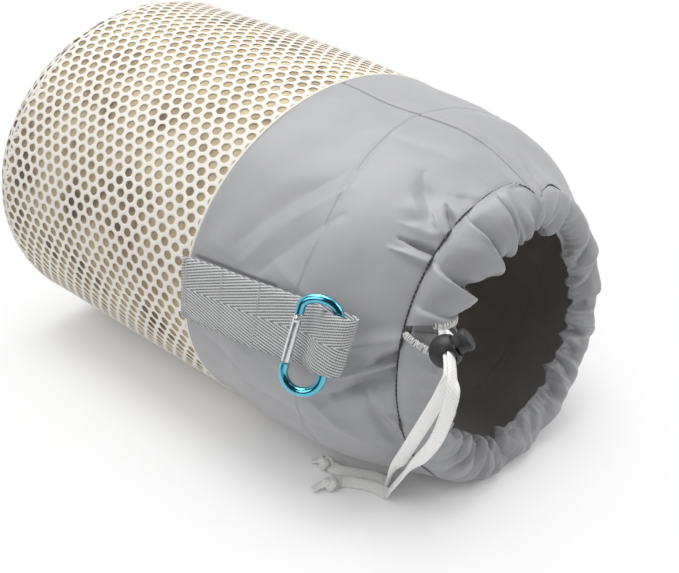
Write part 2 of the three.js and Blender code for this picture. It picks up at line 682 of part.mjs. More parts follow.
const rod = loft(rodLine.map(([p, q, turn]) => {
  const out = new THREE.Vector3(Math.cos(radians(turn)), Math.sin(radians(turn)), 0);
  return ovalLoop(new THREE.Vector3(p, q, 0), out, ROD, new THREE.Vector3(0, 0, 1), ROD, 10);
}));

function plate(p, low, high, width, thick) {
  const box = new THREE.BoxGeometry(width, high - low, thick);
  return box.translate(p, (low + high) / 2, 0);
}

function crossPin(p, q, radius, length, sides) {
  const pin = new THREE.CylinderGeometry(radius, radius, length, sides);
  return pin.rotateX(Math.PI / 2).translate(p, q, 0);
}

const TONGUE_WIDTH = ROD - 0.9;
const LATCH_Q = GATE_END + LATCH_AT;
const LATCH_CLEAR = LATCH_PIN_RADIUS + GAP;
const hingeTongue = plate(CARABINER_SPACING, GATE_HINGE, ARM_END + 0.8, TONGUE_WIDTH, TONGUE_THICK);
const hingeRound = crossPin(CARABINER_SPACING, GATE_HINGE, TONGUE_WIDTH / 2, TONGUE_THICK, 16);
const noseTongue = plate(
  CARABINER_SPACING, NOSE_END - 0.8, LATCH_Q + LATCH_CLEAR + 1.4, TONGUE_WIDTH - 0.6, TONGUE_THICK,
);
const rivetHole = crossPin(CARABINER_SPACING, GATE_HINGE, RIVET_RADIUS + GAP, ROD * 2, 12);
const latchSeat = crossPin(CARABINER_SPACING, LATCH_Q, LATCH_CLEAR, ROD * 2, 12);
const latchWay = plate(
  CARABINER_SPACING - ROD / 2, LATCH_Q - LATCH_CLEAR, LATCH_Q + LATCH_CLEAR, ROD, ROD * 2,
);
addPiece(
  "carabiner_body",
  combine(rod, [hingeTongue, hingeRound, noseTongue], [rivetHole, latchSeat, latchWay])
    .applyMatrix4(carabinerFrame),
  0x2f7f9e, 0.3, 0.8,
);

// Gate: hollow rod forked at both ends, on a rivet, with a latch pin, spring and pusher.
const GATE_RADIUS = ROD / 2;
const SLOT_THICK = TONGUE_THICK + 2 * GAP;
const HINGE_SLOT_LOW = GATE_HINGE - TONGUE_WIDTH / 2 - 0.7;
const LATCH_SLOT_HIGH = LATCH_Q + LATCH_CLEAR + 1.4 + 0.7;
const BORE_END = LATCH_SLOT_HIGH + 1.5;
const gateBar = lathe([
  [0, GATE_END], [GATE_RADIUS - 0.4, GATE_END], [GATE_RADIUS, GATE_END + 0.4],
  ...spread(0, 90, 5).map((turn) => [
    GATE_RADIUS * Math.cos(radians(turn)), GATE_HINGE + GATE_RADIUS * Math.sin(radians(turn)),
  ]),
], 16).translate(CARABINER_SPACING, 0, 0);
const hingeSlot = plate(CARABINER_SPACING, HINGE_SLOT_LOW, GATE_HINGE + ROD, ROD * 2, SLOT_THICK);
const latchSlot = plate(CARABINER_SPACING, GATE_END - ROD, LATCH_SLOT_HIGH, ROD * 2, SLOT_THICK);
const latchHole = crossPin(CARABINER_SPACING, LATCH_Q, LATCH_CLEAR, ROD * 2, 10);
const gateBore = new THREE.CylinderGeometry(
  GATE_BORE_RADIUS, GATE_BORE_RADIUS, HINGE_SLOT_LOW + 1 - BORE_END, 12,
).translate(CARABINER_SPACING, (HINGE_SLOT_LOW + 1 + BORE_END) / 2, 0);
addPiece(
  "carabiner_gate",
  combine(gateBar, [], [hingeSlot, latchSlot, latchHole, rivetHole, gateBore])
    .applyMatrix4(carabinerFrame),
  0xc7cacd, 0.3, 0.9,
);

const RIVET_HALF = GATE_RADIUS + GAP;
const rivet = lathe([
  [0, -RIVET_HALF - 0.6], [1.5, -RIVET_HALF - 0.6], [1.5, -RIVET_HALF], [RIVET_RADIUS, -RIVET_HALF],
  [RIVET_RADIUS, RIVET_HALF], [1.5, RIVET_HALF], [1.5, RIVET_HALF + 0.6], [0, RIVET_HALF + 0.6],
], 12).rotateX(Math.PI / 2).translate(CARABINER_SPACING, GATE_HINGE, 0);
addPiece(
  "carabiner_rivet", fromManifold(toManifold(rivet)).applyMatrix4(carabinerFrame), 0xd6d8da, 0.3, 1,
);

const latchPin = crossPin(CARABINER_SPACING, LATCH_Q, LATCH_PIN_RADIUS, 2 * GATE_RADIUS - 0.8, 10);
addPiece(
  "carabiner_latch_pin",
  fromManifold(toManifold(latchPin)).applyMatrix4(carabinerFrame),
  0xd6d8da, 0.3, 1,
);

const PUSHER_LENGTH = 4;
const PUSHER_TOP = HINGE_SLOT_LOW + 0.4;
const pusher = new THREE.CylinderGeometry(
  GATE_BORE_RADIUS - GAP, GATE_BORE_RADIUS - GAP, PUSHER_LENGTH, 12,
).translate(CARABINER_SPACING, PUSHER_TOP - PUSHER_LENGTH / 2, 0);
addPiece(
  "carabiner_pusher",
  fromManifold(toManifold(pusher)).applyMatrix4(carabinerFrame),
  0xb9bcc0, 0.35, 1,
);

const gateSpring = coil(
  GATE_BORE_RADIUS - GAP - GATE_SPRING_WIRE / 2, GATE_SPRING_WIRE, GATE_SPRING_TURNS,
  BORE_END + GAP + GATE_SPRING_WIRE / 2, PUSHER_TOP - PUSHER_LENGTH - GAP - GATE_SPRING_WIRE / 2, 9, 5,
).translate(CARABINER_SPACING, 0, 0);
addPiece("carabiner_gate_spring", gateSpring.applyMatrix4(carabinerFrame), 0xc9ccd0, 0.3, 1);

export default bag;
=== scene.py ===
import math
from functools import partial

import bmesh
import bpy
import numpy as np
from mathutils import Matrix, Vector


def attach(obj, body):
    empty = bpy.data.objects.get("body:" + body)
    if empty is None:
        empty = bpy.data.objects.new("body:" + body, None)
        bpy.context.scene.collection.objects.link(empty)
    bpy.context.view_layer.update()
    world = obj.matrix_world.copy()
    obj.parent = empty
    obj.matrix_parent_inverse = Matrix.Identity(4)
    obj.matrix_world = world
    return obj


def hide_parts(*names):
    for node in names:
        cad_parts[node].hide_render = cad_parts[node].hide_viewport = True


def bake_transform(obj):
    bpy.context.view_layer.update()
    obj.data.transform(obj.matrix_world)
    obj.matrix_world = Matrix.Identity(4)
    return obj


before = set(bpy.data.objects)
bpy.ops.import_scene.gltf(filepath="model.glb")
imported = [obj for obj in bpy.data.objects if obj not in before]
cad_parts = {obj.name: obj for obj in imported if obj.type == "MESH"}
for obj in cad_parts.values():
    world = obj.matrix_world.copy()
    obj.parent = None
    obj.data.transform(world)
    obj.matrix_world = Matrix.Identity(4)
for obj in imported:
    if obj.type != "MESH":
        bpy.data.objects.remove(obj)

scene = bpy.context.scene
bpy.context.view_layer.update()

# Net wall: the round side of the bag, a white warp-knit polyester net with hexagon holes 8.5 mm
# apart, over a backing of fine threads. It is one strip sewn into a tube. The bag lies on its
# side, so the tube's section is an oval with a flat underside.
MM = 0.001
FLAT_CUT = "flat_cut"
UNDERSIDE_PRESS = 3.6
COLLAR_SEAM_X = 26
COLLAR_LENGTH = 119
HEM_STITCH_X = COLLAR_SEAM_X + COLLAR_LENGTH
NET_START_X = -144
BASE_HALF_WIDTH = 113
BASE_HEIGHT = 191
MOUTH_RADIUS = 82.6
MOUTH_LEAN = 0.07


def drawn_curve(points, steps):
    """Even, springy line through the points, with so many steps to a span."""
    points = np.asarray(points, float)
    ends = [2 * points[0] - points[1], *points, 2 * points[-1] - points[-2]]
    line = []
    for before, here, there, after in zip(ends, ends[1:], ends[2:], ends[3:]):
        spans = ((before, here), (here, there), (there, after))
        d0, d1, d2 = (max(np.linalg.norm(b - a), 1e-9) ** 0.5 for a, b in spans)
        leave = ((here - before) / d0 - (there - before) / (d0 + d1) + (there - here) / d1) * d1
        arrive = ((there - here) / d1 - (after - here) / (d1 + d2) + (after - there) / d2) * d1
        square = 3 * (there - here) - 2 * leave - arrive
        cube = 2 * (here - there) + leave + arrive
        for w in np.linspace(0, 1, steps, endpoint=False):
            line.append(here + leave * w + square * w**2 + cube * w**3)
    return np.array([*line, points[-1]])


# Place along the bag, half width and height of its section.
bag_profile = drawn_curve(
    [(NET_START_X, BASE_HALF_WIDTH, BASE_HEIGHT), (-73.4, 114.5, BASE_HEIGHT),
     (COLLAR_SEAM_X, 114, 185), (COLLAR_SEAM_X + 78, 111, 175),
     (HEM_STITCH_X, MOUTH_RADIUS, 2 * MOUTH_RADIUS - UNDERSIDE_PRESS)], 80)


def bag_wall(x, angle, inset=0.0):
    """Points of the wall in mm; the angle runs from the top towards the strap side."""
    x, angle = np.broadcast_arrays(np.asarray(x, float), angle)
    half_width = np.interp(x, bag_profile[:, 0], bag_profile[:, 1])
    height = np.interp(x, bag_profile[:, 0], bag_profile[:, 2])
    middle = (height - UNDERSIDE_PRESS) / 2
    half = (height + UNDERSIDE_PRESS) / 2
    y = -(half_width - inset) * np.sin(angle)
    z = np.maximum(middle + (half - inset) * np.cos(angle), inset)
    lean = MOUTH_LEAN * np.maximum(0, (x - COLLAR_SEAM_X) / COLLAR_LENGTH)
    return np.stack([x - lean * (z - middle), y, z], -1)


def put(tree, kind, wires=None, **settings):
    """Adds a node, sets it up, and wires or sets its inputs."""
    node = tree.nodes.new(kind)
    for name, value in settings.items():
        setattr(node, name, value)
    for socket, value in (wires or {}).items():
        if isinstance(value, bpy.types.NodeSocket):
            tree.links.new(value, node.inputs[socket])
        else:
            node.inputs[socket].default_value = value
    return node


def first_of(tree, kind, wires=None, **settings):
    """First output of a new node."""
    return put(tree, kind, wires, **settings).outputs[0]


def reckon(tree, operation, *values):
    """Output of a sum on numbers or sockets."""
    return first_of(tree, "ShaderNodeMath", dict(enumerate(values)), operation=operation)


def start_tree(name, inputs):
    """Geometry tree with named inputs, and the sockets that carry them."""
    tree = bpy.data.node_groups.new(name, "GeometryNodeTree")
    tree.interface.new_socket("Geometry", in_out="OUTPUT", socket_type="NodeSocketGeometry")
    for label, kind in inputs.items():
        tree.interface.new_socket(label, in_out="INPUT", socket_type="NodeSocket" + kind)
    given = tree.nodes.new("NodeGroupInput").outputs
    return tree, given


def end_tree(tree, geometry, material):
    """Closes a tree: real geometry, smooth, in its finish."""
    real = first_of(tree, "GeometryNodeRealizeInstances", {"Geometry": geometry})
    smooth = first_of(tree, "GeometryNodeSetShadeSmooth", {"Geometry": real})
    dressed = put(tree, "GeometryNodeSetMaterial", {"Geometry": smooth, "Material": material})
    put(tree, "NodeGroupOutput", {"Geometry": dressed.outputs[0]})


def trimmed(tree, geometry, oval):
    """Drops the points outside an oval round the middle of the flat cut."""
    place = first_of(tree, "GeometryNodeInputPosition")
    share = first_of(tree, "ShaderNodeVectorMath", {0: place, 1: oval}, operation="DIVIDE")
    reach = put(tree, "ShaderNodeVectorMath", {0: share}, operation="LENGTH").outputs["Value"]
    wires = {"Geometry": geometry, "Selection": reckon(tree, "GREATER_THAN", reach, 1.0)}
    return first_of(tree, "GeometryNodeDeleteGeometry", wires)


def laid_on_form(tree, geometry, form, u, v, rise):
    """Geometry laid on a form by its place in the flat cut, raised along the form's normal."""
    form = put(tree, "GeometryNodeObjectInfo", {"Object": form}).outputs["Geometry"]
    spot = first_of(tree, "ShaderNodeCombineXYZ", {"X": u, "Y": v})
    cut = put(tree, "GeometryNodeInputNamedAttribute", {"Name": FLAT_CUT}, data_type="FLOAT_VECTOR")
    found = []
    for kind in ("GeometryNodeInputPosition", "GeometryNodeInputNormal"):
        value = tree.nodes.new(kind).outputs[0]
        wires = {"Mesh": form, "Value": value, "UV Map": cut.outputs[0], "Sample UV": spot}
        sample = put(tree, "GeometryNodeSampleUVSurface", wires, data_type="FLOAT_VECTOR")
        found.append(sample.outputs[0])
    lift = put(tree, "ShaderNodeVectorMath", {0: found[1], "Scale": rise}, operation="SCALE")
    place = first_of(tree, "ShaderNodeVectorMath", {0: found[0], 1: lift.outputs[0]})
    return first_of(tree, "GeometryNodeSetPosition", {"Geometry": geometry, "Position": place})


# The net's tree: one hexagon cell with a rounded hole, repeated on a flat cut and laid on a form.
CELL_CORNERS = 12
HOLE_CORNER_SHARE = 0.55
RIM_SHARE = 0.35
WELD = 0.00005
net_tree, given = start_tree("hexagon_net", {
    "Form": "Object", "Pitch": "Float", "Squeeze": "Float", "Columns": "Int", "Rows": "Int",
    "Start": "Vector", "Wrap from": "Float", "Wrap to": "Float", "Low": "Float", "High": "Float",
    "Oval": "Vector", "Hole": "Float", "Thickness": "Float", "Material": "Material"})
put_net = partial(first_of, net_tree)
sum_net = partial(reckon, net_tree)
half_thick = sum_net("MULTIPLY", given["Thickness"], 0.5)
hole_radius = sum_net("MULTIPLY", given["Pitch"], given["Hole"])
cell = put_net("GeometryNodeMeshCircle", {"Vertices": CELL_CORNERS, "Radius": 1.0})
at = put(net_tree, "ShaderNodeSeparateXYZ", {0: put_net("GeometryNodeInputPosition")}).outputs
bearing = sum_net("ARCTAN2", at[1], at[0])
off_side = sum_net("WRAP", bearing, math.radians(30), math.radians(-30))
side_reach = sum_net("DIVIDE", sum_net("MULTIPLY", given["Pitch"], 0.5), sum_net("COSINE", off_side))
to_corner = sum_net("SUBTRACT", sum_net("DIVIDE", 1.0, sum_net("COSINE", off_side)), 1.0)
hole_reach = sum_net("MULTIPLY", hole_radius, sum_net("MULTIPLY_ADD", to_corner, HOLE_CORNER_SHARE, 1.0))
rim_reach = sum_net("ADD", hole_reach, sum_net(
    "MULTIPLY", sum_net("SUBTRACT", side_reach, hole_reach), RIM_SHARE))


def ring_place(reach, share, stretch):
    """Ring of points round a cell's middle at a reach and a share of the half thickness."""
    across = sum_net("MULTIPLY", sum_net("COSINE", bearing), reach)
    upward = sum_net("MULTIPLY", sum_net("MULTIPLY", sum_net("SINE", bearing), reach), stretch)
    rise = sum_net("MULTIPLY", half_thick, share)
    return put_net("ShaderNodeCombineXYZ", {"X": across, "Y": upward, "Z": rise})


cell = put_net("GeometryNodeSetPosition", {
    "Geometry": cell, "Position": ring_place(side_reach, 1.0, 1.0)})
edge = None
for reach, share, stretch in (
    (rim_reach, 0.8, 1.06), (hole_reach, 0.0, 1.12), (rim_reach, -0.8, 1.06),
    (side_reach, -1.0, 1.0),
):
    wires = {"Mesh": cell, "Offset Scale": 0.0}
    if edge:
        wires["Selection"] = edge
    pulled = put(net_tree, "GeometryNodeExtrudeMesh", wires, mode="EDGES")
    edge = pulled.outputs["Top"]
    cell = put_net("GeometryNodeSetPosition", {
        "Geometry": pulled.outputs["Mesh"], "Selection": edge,
        "Position": ring_place(reach, share, stretch)})
row_step = sum_net("MULTIPLY", given["Pitch"], math.sin(math.radians(60)))
lattice = put_net("GeometryNodeMeshGrid", {
    "Vertices X": given["Columns"], "Vertices Y": given["Rows"],
    "Size X": sum_net("MULTIPLY", sum_net("SUBTRACT", given["Columns"], 1), given["Pitch"]),
    "Size Y": sum_net("MULTIPLY", sum_net("SUBTRACT", given["Rows"], 1), row_step)})
row = sum_net("MODULO", put_net("GeometryNodeInputIndex"), given["Rows"])
stagger = sum_net("MULTIPLY", sum_net("MODULO", row, 2), sum_net("MULTIPLY", given["Pitch"], 0.5))
moved = put_net("ShaderNodeVectorMath", {
    0: given["Start"], 1: put_net("ShaderNodeCombineXYZ", {"X": stagger})})
lattice = put_net("GeometryNodeSetPosition", {"Geometry": lattice, "Offset": moved})
cells = put_net("GeometryNodeInstanceOnPoints", {
    "Points": trimmed(net_tree, lattice, given["Oval"]), "Instance": cell})
cells = put_net("GeometryNodeRealizeInstances", {"Geometry": cells})
cells = put_net("GeometryNodeMergeByDistance", {"Geometry": cells, "Distance": WELD})
at = put(net_tree, "ShaderNodeSeparateXYZ", {0: put_net("GeometryNodeInputPosition")}).outputs
round_the_bag = sum_net("MULTIPLY", at[1], given["Squeeze"])
round_the_bag = sum_net("WRAP", round_the_bag, given["Wrap to"], given["Wrap from"])
along_the_bag = sum_net("MINIMUM", sum_net("MAXIMUM", at[0], given["Low"]), given["High"])
cells = laid_on_form(net_tree, cells, given["Form"], round_the_bag, along_the_bag, at[2])
end_tree(net_tree, cells, given["Material"])

# The backing's tree: fine parallel threads on a flat cut, laid just under the net.
backing_tree, given = start_tree("fine_backing", {
    "Form": "Object", "Threads": "Int", "Start": "Vector", "Between": "Float", "Points": "Int",
    "Step": "Float", "Oval": "Vector", "Under": "Float", "Radius": "Float", "Material": "Material"})
put_back = partial(first_of, backing_tree)
thread = put_back("GeometryNodeMeshLine", {
    "Count": given["Points"],
    "Offset": put_back("ShaderNodeCombineXYZ", {"Y": given["Step"]})})
thread = put_back("GeometryNodeMeshToCurve", {"Mesh": thread})
starts = put_back("GeometryNodeMeshLine", {
    "Count": given["Threads"], "Start Location": given["Start"],
    "Offset": put_back("ShaderNodeCombineXYZ", {"X": given["Between"]})})
threads = put_back("GeometryNodeInstanceOnPoints", {"Points": starts, "Instance": thread})
threads = put_back("GeometryNodeRealizeInstances", {"Geometry": threads})
threads = trimmed(backing_tree, threads, given["Oval"])
at = put(backing_tree, "ShaderNodeSeparateXYZ", {0: put_back("GeometryNodeInputPosition")}).outputs
below = reckon(backing_tree, "MULTIPLY", given["Under"], -1.0)
threads = laid_on_form(backing_tree, threads, given["Form"], at[0], at[1], below)
round_thread = put_back("GeometryNodeCurvePrimitiveCircle", {
    "Resolution": 3, "Radius": given["Radius"]})
threads = put_back("GeometryNodeCurveToMesh", {
    "Curve": threads, "Profile Curve": round_thread})
end_tree(backing_tree, threads, given["Material"])


def new_finish(name, **sockets):
    """Material whose shader sockets are set by name."""
    finish = bpy.data.materials.new(name)
    finish.use_nodes = True
    shader = finish.node_tree.nodes["Principled BSDF"]
    for socket, value in sockets.items():
        shader.inputs[socket.replace("_", " ")].default_value = value
    return finish, finish.node_tree, shader


def shades(tree, factor, *stops):
    """Colour ramp with (place, colour) stops."""
    ramp = put(tree, "ShaderNodeValToRGB", {"Fac": factor})
    while len(ramp.color_ramp.elements) < len(stops):
        ramp.color_ramp.elements.new(1)
    for element, (place, colour) in zip(ramp.color_ramp.elements, stops):
        element.position = place
        element.color = (*colour, 1)
    return ramp.outputs["Color"]


def tint_and_emboss(tree, shader, tint, height, strength, depth):
    """Wires a colour, and a height as a bump, into a shader."""
    tree.links.new(tint, shader.inputs["Base Color"])
    bump = put(tree, "ShaderNodeBump", {"Height": height, "Strength": strength, "Distance": depth})
    tree.links.new(bump.outputs[0], shader.inputs["Normal"])


def mottled(name, scale, detail, stops, gloss=(), **sockets):
    """Finish whose colour, and gloss where given, wander with a noise fixed to the piece."""
    finish, tree, shader = new_finish(name, **sockets)
    place = put(tree, "ShaderNodeTexCoord").outputs["Object"]
    noise = put(tree, "ShaderNodeTexNoise", {"Vector": place, "Scale": scale, "Detail": detail})
    for socket, places in (("Base Color", stops), ("Roughness", gloss)):
        if places:
            tree.links.new(shades(tree, noise.outputs["Fac"], *places), shader.inputs[socket])
    return finish


net_white, tree, shader = new_finish(
    "net_thread", Roughness=0.62, Sheen_Weight=0.25, Specular_IOR_Level=0.25)
place = put(tree, "ShaderNodeTexCoord").outputs["Object"]
yarn = put(tree, "ShaderNodeTexNoise", {"Vector": place, "Scale": 900.0, "Detail": 2.0}).outputs["Fac"]
soil = put(tree, "ShaderNodeTexNoise", {"Vector": place, "Scale": 14.0, "Detail": 3.0}).outputs["Fac"]
tint = shades(tree, soil, (0.3, (0.80, 0.755, 0.68)), (0.7, (0.84, 0.805, 0.74)))
tint_and_emboss(tree, shader, tint, yarn, 0.5, 0.0003)

# The backing's colour wanders in blotches a few cells wide, from pale cream to near brown. The
# near-brown blotches are painted shade, as of the dark deep in the holes.
backing_cream = mottled(
    "backing_thread", 42.0, 2.0,
    ((0.34, (0.26, 0.195, 0.12)), (0.47, (0.68, 0.54, 0.33)), (0.64, (0.84, 0.73, 0.50))),
    Roughness=0.7, Sheen_Weight=0.2)


def grid_faces(rows, columns, closed=False):
    """Quads of a grid of points whose columns may close into a ring."""
    number = np.arange(rows * columns).reshape(rows, columns)
    if closed:
        number = np.concatenate([number, number[:, :1]], axis=1)
    corners = [number[:-1, :-1], number[:-1, 1:], number[1:, 1:], number[1:, :-1]]
    return np.stack(corners, -1).reshape(-1, 4)


def shade_smooth(mesh):
    """Rounds the look of all faces."""
    mesh.polygons.foreach_set("use_smooth", [True] * len(mesh.polygons))


def add_mesh(name, points, faces, edges=()):
    """Smooth mesh object from points in mm."""
    mesh = bpy.data.meshes.new(name)
    place = (np.asarray(points, float).reshape(-1, 3) * MM).tolist()
    mesh.from_pydata(place, edges, [list(map(int, face)) for face in faces])
    shade_smooth(mesh)
    piece = bpy.data.objects.new(name, mesh)
    scene.collection.objects.link(piece)
    return piece


def lay_flat(piece, flat):
    """Keeps each point's place in the flat cut, in mm, as a UV map in metres."""
    layer = piece.data.uv_layers.new(name=FLAT_CUT)
    corner = np.zeros(len(piece.data.loops), int)
    piece.data.loops.foreach_get("vertex_index", corner)
    layer.data.foreach_set("uv", (np.asarray(flat).reshape(-1, 2)[corner] * MM).ravel())


def run_lengths(points, axis):
    """Distance along one direction of a grid of points, from its first point."""
    steps = np.linalg.norm(np.diff(points, axis=axis), axis=2)
    return np.concatenate([np.zeros_like(np.take(steps, [0], axis)), np.cumsum(steps, axis)], axis)


NET_THICK = 0.5
NET_MIDDLE = 0.4
ROUND_ROWS = 112
CELLS_ALONG = 20
HOLE_SHARE = 0.30
UNTRIMMED = (9.0, 9.0, 9.0)
FORM_MARGIN = 10
LEAD_ROWS = 3
form_x = np.concatenate([
    np.linspace(NET_START_X - FORM_MARGIN, NET_START_X, LEAD_ROWS, endpoint=False),
    np.linspace(NET_START_X, COLLAR_SEAM_X + FORM_MARGIN, 44)])
form_turn = np.linspace(0, 2 * np.pi, 161)
form_points = bag_wall(form_x[:, None], form_turn, NET_MIDDLE)
round_run = run_lengths(form_points, 1)
net_round = round_run[:, -1].mean()
long_run = run_lengths(form_points, 0).mean(1)
long_run -= long_run[LEAD_ROWS]
net_length = np.interp(COLLAR_SEAM_X, form_x, long_run)
flat_round = round_run / round_run[:, -1:] * net_round
wall_form = add_mesh("wall_form", form_points, grid_faces(*form_points.shape[:2]))
lay_flat(wall_form, np.stack(np.broadcast_arrays(flat_round, long_run[:, None]), -1))
pitch = net_length / CELLS_ALONG
row_step = pitch * math.sin(math.radians(60))
squeeze = net_round / ROUND_ROWS / row_step
half_rows = ROUND_ROWS // 2


def settle(piece, modifier):
    """Makes what a modifier shows the piece's own mesh."""
    bpy.context.view_layer.update()
    made = piece.evaluated_get(bpy.context.evaluated_depsgraph_get())
    mesh = bpy.data.meshes.new_from_object(made)
    piece.modifiers.remove(modifier)
    piece.data = mesh


def grow(tree, name, values):
    """Runs a tree with these inputs and keeps what it makes as a plain mesh."""
    piece = bpy.data.objects.new(name, bpy.data.meshes.new(name))
    scene.collection.objects.link(piece)
    modifier = piece.modifiers.new("grow", "NODES")
    modifier.node_group = tree
    for item in tree.interface.items_tree:
        if item.in_out == "INPUT":
            modifier[item.identifier] = values[item.name]
    settle(piece, modifier)
    piece.data.name = name
    return piece


def turn_faces_out(piece, weld=False):
    """Points the faces of a closed piece outwards, with points that coincide welded if asked."""
    shell = bmesh.new()
    shell.from_mesh(piece.data)
    if weld:
        bmesh.ops.remove_doubles(shell, verts=shell.verts, dist=1e-7)
    bmesh.ops.recalc_face_normals(shell, faces=shell.faces)
    shell.to_mesh(piece.data)
    shell.free()


def dress(piece, node=None, finish=None, body="bag"):
    """Gives a piece its finish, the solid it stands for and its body."""
    if finish:
        piece.data.materials.append(finish)
    if node:
        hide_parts(node)
    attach(piece, body)


for name, first in (("net_wall_strap_side", 0), ("net_wall_far_side", half_rows)):
    start = (net_length / 2 * MM, (first + (half_rows - 1) / 2) * row_step * MM, 0)
    net_half = grow(net_tree, name, {
        "Form": wall_form, "Pitch": pitch * MM, "Squeeze": squeeze, "Columns": CELLS_ALONG + 1,
        "Rows": half_rows, "Start": start, "Wrap from": 0.0, "Wrap to": net_round * MM,
        "Low": -0.6 * MM, "High": (net_length + 0.8) * MM, "Oval": UNTRIMMED,
        "Hole": HOLE_SHARE, "Thickness": NET_THICK * MM, "Material": net_white})
    turn_faces_out(net_half)
    dress(net_half, "net_wall")

BACKING_STEP = 0.95
BACKING_RADIUS = 0.44
BACKING_UNDER = 0.7
BACKING_SPANS = 26
BACKING_INSET = 0.2
backing_threads = int(net_round / BACKING_STEP)
wall_backing = grow(backing_tree, "net_wall_backing", {
    "Form": wall_form, "Threads": backing_threads, "Start": (BACKING_INSET * MM, 0.0, 0.0),
    "Between": (net_round - 2 * BACKING_INSET) / backing_threads * MM, "Points": BACKING_SPANS + 1,
    "Step": net_length / BACKING_SPANS * MM, "Oval": UNTRIMMED, "Under": BACKING_UNDER * MM,
    "Radius": BACKING_RADIUS * MM, "Material": backing_cream})
dress(wall_backing)
bpy.data.objects.remove(wall_form)

# Net base: the round end, cut from the same net over the same backing. It is slightly domed,
# and it turns over at its rim to meet the wall.
BASE_X = -158
BASE_CORNER = 14
BASE_DOME = 5
FLAT_SHARE = 0.8
BASE_COLUMNS = 31
BASE_ROWS = 53
BASE_THREADS = 261
BASE_THREAD_HALF = 126
BASE_THREAD_SPANS = 42
BASE_TURN_STEPS = 120
base_reach = np.concatenate([np.linspace(0.004, FLAT_SHARE, 16), np.linspace(FLAT_SHARE, 1, 10)[1:]])
flat_part = np.minimum(1, base_reach / FLAT_SHARE)
bend = np.maximum(0, base_reach - FLAT_SHARE) / (1 - FLAT_SHARE) * np.pi / 2
corner_share = BASE_CORNER / BASE_HALF_WIDTH
base_radius = (1 - corner_share) * flat_part + corner_share * np.sin(bend)
base_x = BASE_X - BASE_DOME * (1 - flat_part**2) + BASE_CORNER * (1 - np.cos(bend)) + NET_MIDDLE
under_wall = np.array([3.0, 6.0, 9.0])
base_x = np.concatenate([base_x, NET_START_X + under_wall])
base_radius = np.concatenate([base_radius, np.ones(len(under_wall))])
base_turn = np.linspace(0, 2 * np.pi, BASE_TURN_STEPS + 1)
base_middle = (BASE_HEIGHT - UNDERSIDE_PRESS) / 2
base_half = (BASE_HEIGHT + UNDERSIDE_PRESS) / 2
base_points = np.stack(np.broadcast_arrays(
    base_x[:, None],
    -(BASE_HALF_WIDTH - NET_MIDDLE) * base_radius[:, None] * np.sin(base_turn),
    np.maximum(base_middle + (base_half - NET_MIDDLE) * base_radius[:, None] * np.cos(base_turn),
               NET_MIDDLE)), -1)
base_run = run_lengths(base_points, 0)
base_form = add_mesh("base_form", base_points, grid_faces(*base_points.shape[:2]))
base_flat = np.stack([base_run * np.sin(base_turn), base_run * np.cos(base_turn)], -1)
lay_flat(base_form, base_flat)
rim_run = base_run[-1 - len(under_wall)]
rim_wide, rim_high = rim_run.max(), rim_run[[0, BASE_TURN_STEPS // 2]].mean()
net_base = grow(net_tree, "net_base_disc", {
    "Form": base_form, "Pitch": pitch * MM, "Squeeze": squeeze, "Columns": BASE_COLUMNS,
    "Rows": BASE_ROWS,
    "Start": (0.0, 0.0, 0.0), "Wrap from": -1.0, "Wrap to": 1.0, "Low": -1.0, "High": 1.0,
    "Oval": ((rim_high + 2) * MM, (rim_wide + 2) / squeeze * MM, 1.0), "Hole": HOLE_SHARE,
    "Thickness": NET_THICK * MM, "Material": net_white})
turn_faces_out(net_base)
dress(net_base, "net_base")
base_backing = grow(backing_tree, "net_base_backing", {
    "Form": base_form, "Threads": BASE_THREADS,
    "Start": (-(BASE_THREADS // 2) * BACKING_STEP * MM, -BASE_THREAD_HALF * MM, 0.0),
    "Between": BACKING_STEP * MM, "Points": BASE_THREAD_SPANS + 1,
    "Step": 2 * BASE_THREAD_HALF / BASE_THREAD_SPANS * MM,
    "Oval": ((rim_wide - 3) * MM, (rim_high - 3) * MM, 1.0), "Under": BACKING_UNDER * MM,
    "Radius": BACKING_RADIUS * MM, "Material": backing_cream})
dress(base_backing)
bpy.data.objects.remove(base_form)

# Seam tapes and turned edges: each round seam is bound inside with an 11 mm woven tape, and
# outside the net's own edge is turned under and sewn, which shows as a narrow white welt.
TAPE_WIDTH = 11
TAPE_THICK = 0.8
TAPE_INSET = 2.7
ROUND_STEPS = 240
seam_turn = np.linspace(0, 2 * np.pi, ROUND_STEPS, endpoint=False)


def ring_bar(name, loops):
    """Closed ring from the loops of points that run round it, one loop for each section corner."""
    points = np.stack(loops)
    faces = grid_faces(len(loops), ROUND_STEPS, closed=True)
    last = grid_faces(2, ROUND_STEPS, closed=True)
    last = np.where(last < ROUND_STEPS, last + (len(loops) - 1) * ROUND_STEPS, last - ROUND_STEPS)
    piece = add_mesh(name, points, np.concatenate([faces, last]))
    turn_faces_out(piece)
    return piece


tape_white, tree, shader = new_finish("woven_tape", Roughness=0.75, Sheen_Weight=0.2)
place = put(tree, "ShaderNodeTexCoord").outputs["Object"]
ribs = put(tree, "ShaderNodeTexWave", {"Vector": place, "Scale": 260.0, "Distortion": 0.6},
           bands_direction="X").outputs["Fac"]
# Painted shade: the tape's colour follows the same ribs as its bump, so it is darker in the grooves
# between them.
tint = shades(tree, ribs, (0.2, (0.70, 0.69, 0.66)), (0.8, (0.86, 0.855, 0.83)))
tint_and_emboss(tree, shader, tint, ribs, 0.4, 0.0004)

for name, low, high in (
    ("collar_seam_tape", COLLAR_SEAM_X - TAPE_WIDTH / 2, COLLAR_SEAM_X + TAPE_WIDTH / 2),
    ("base_seam_tape", NET_START_X, NET_START_X + TAPE_WIDTH),
):
    deep = TAPE_INSET + TAPE_THICK
    tape = ring_bar(name + "_woven", [
        bag_wall(low, seam_turn, TAPE_INSET), bag_wall(high, seam_turn, TAPE_INSET),
        bag_wall(high, seam_turn, deep), bag_wall(low, seam_turn, deep)])
    dress(tape, name, tape_white)

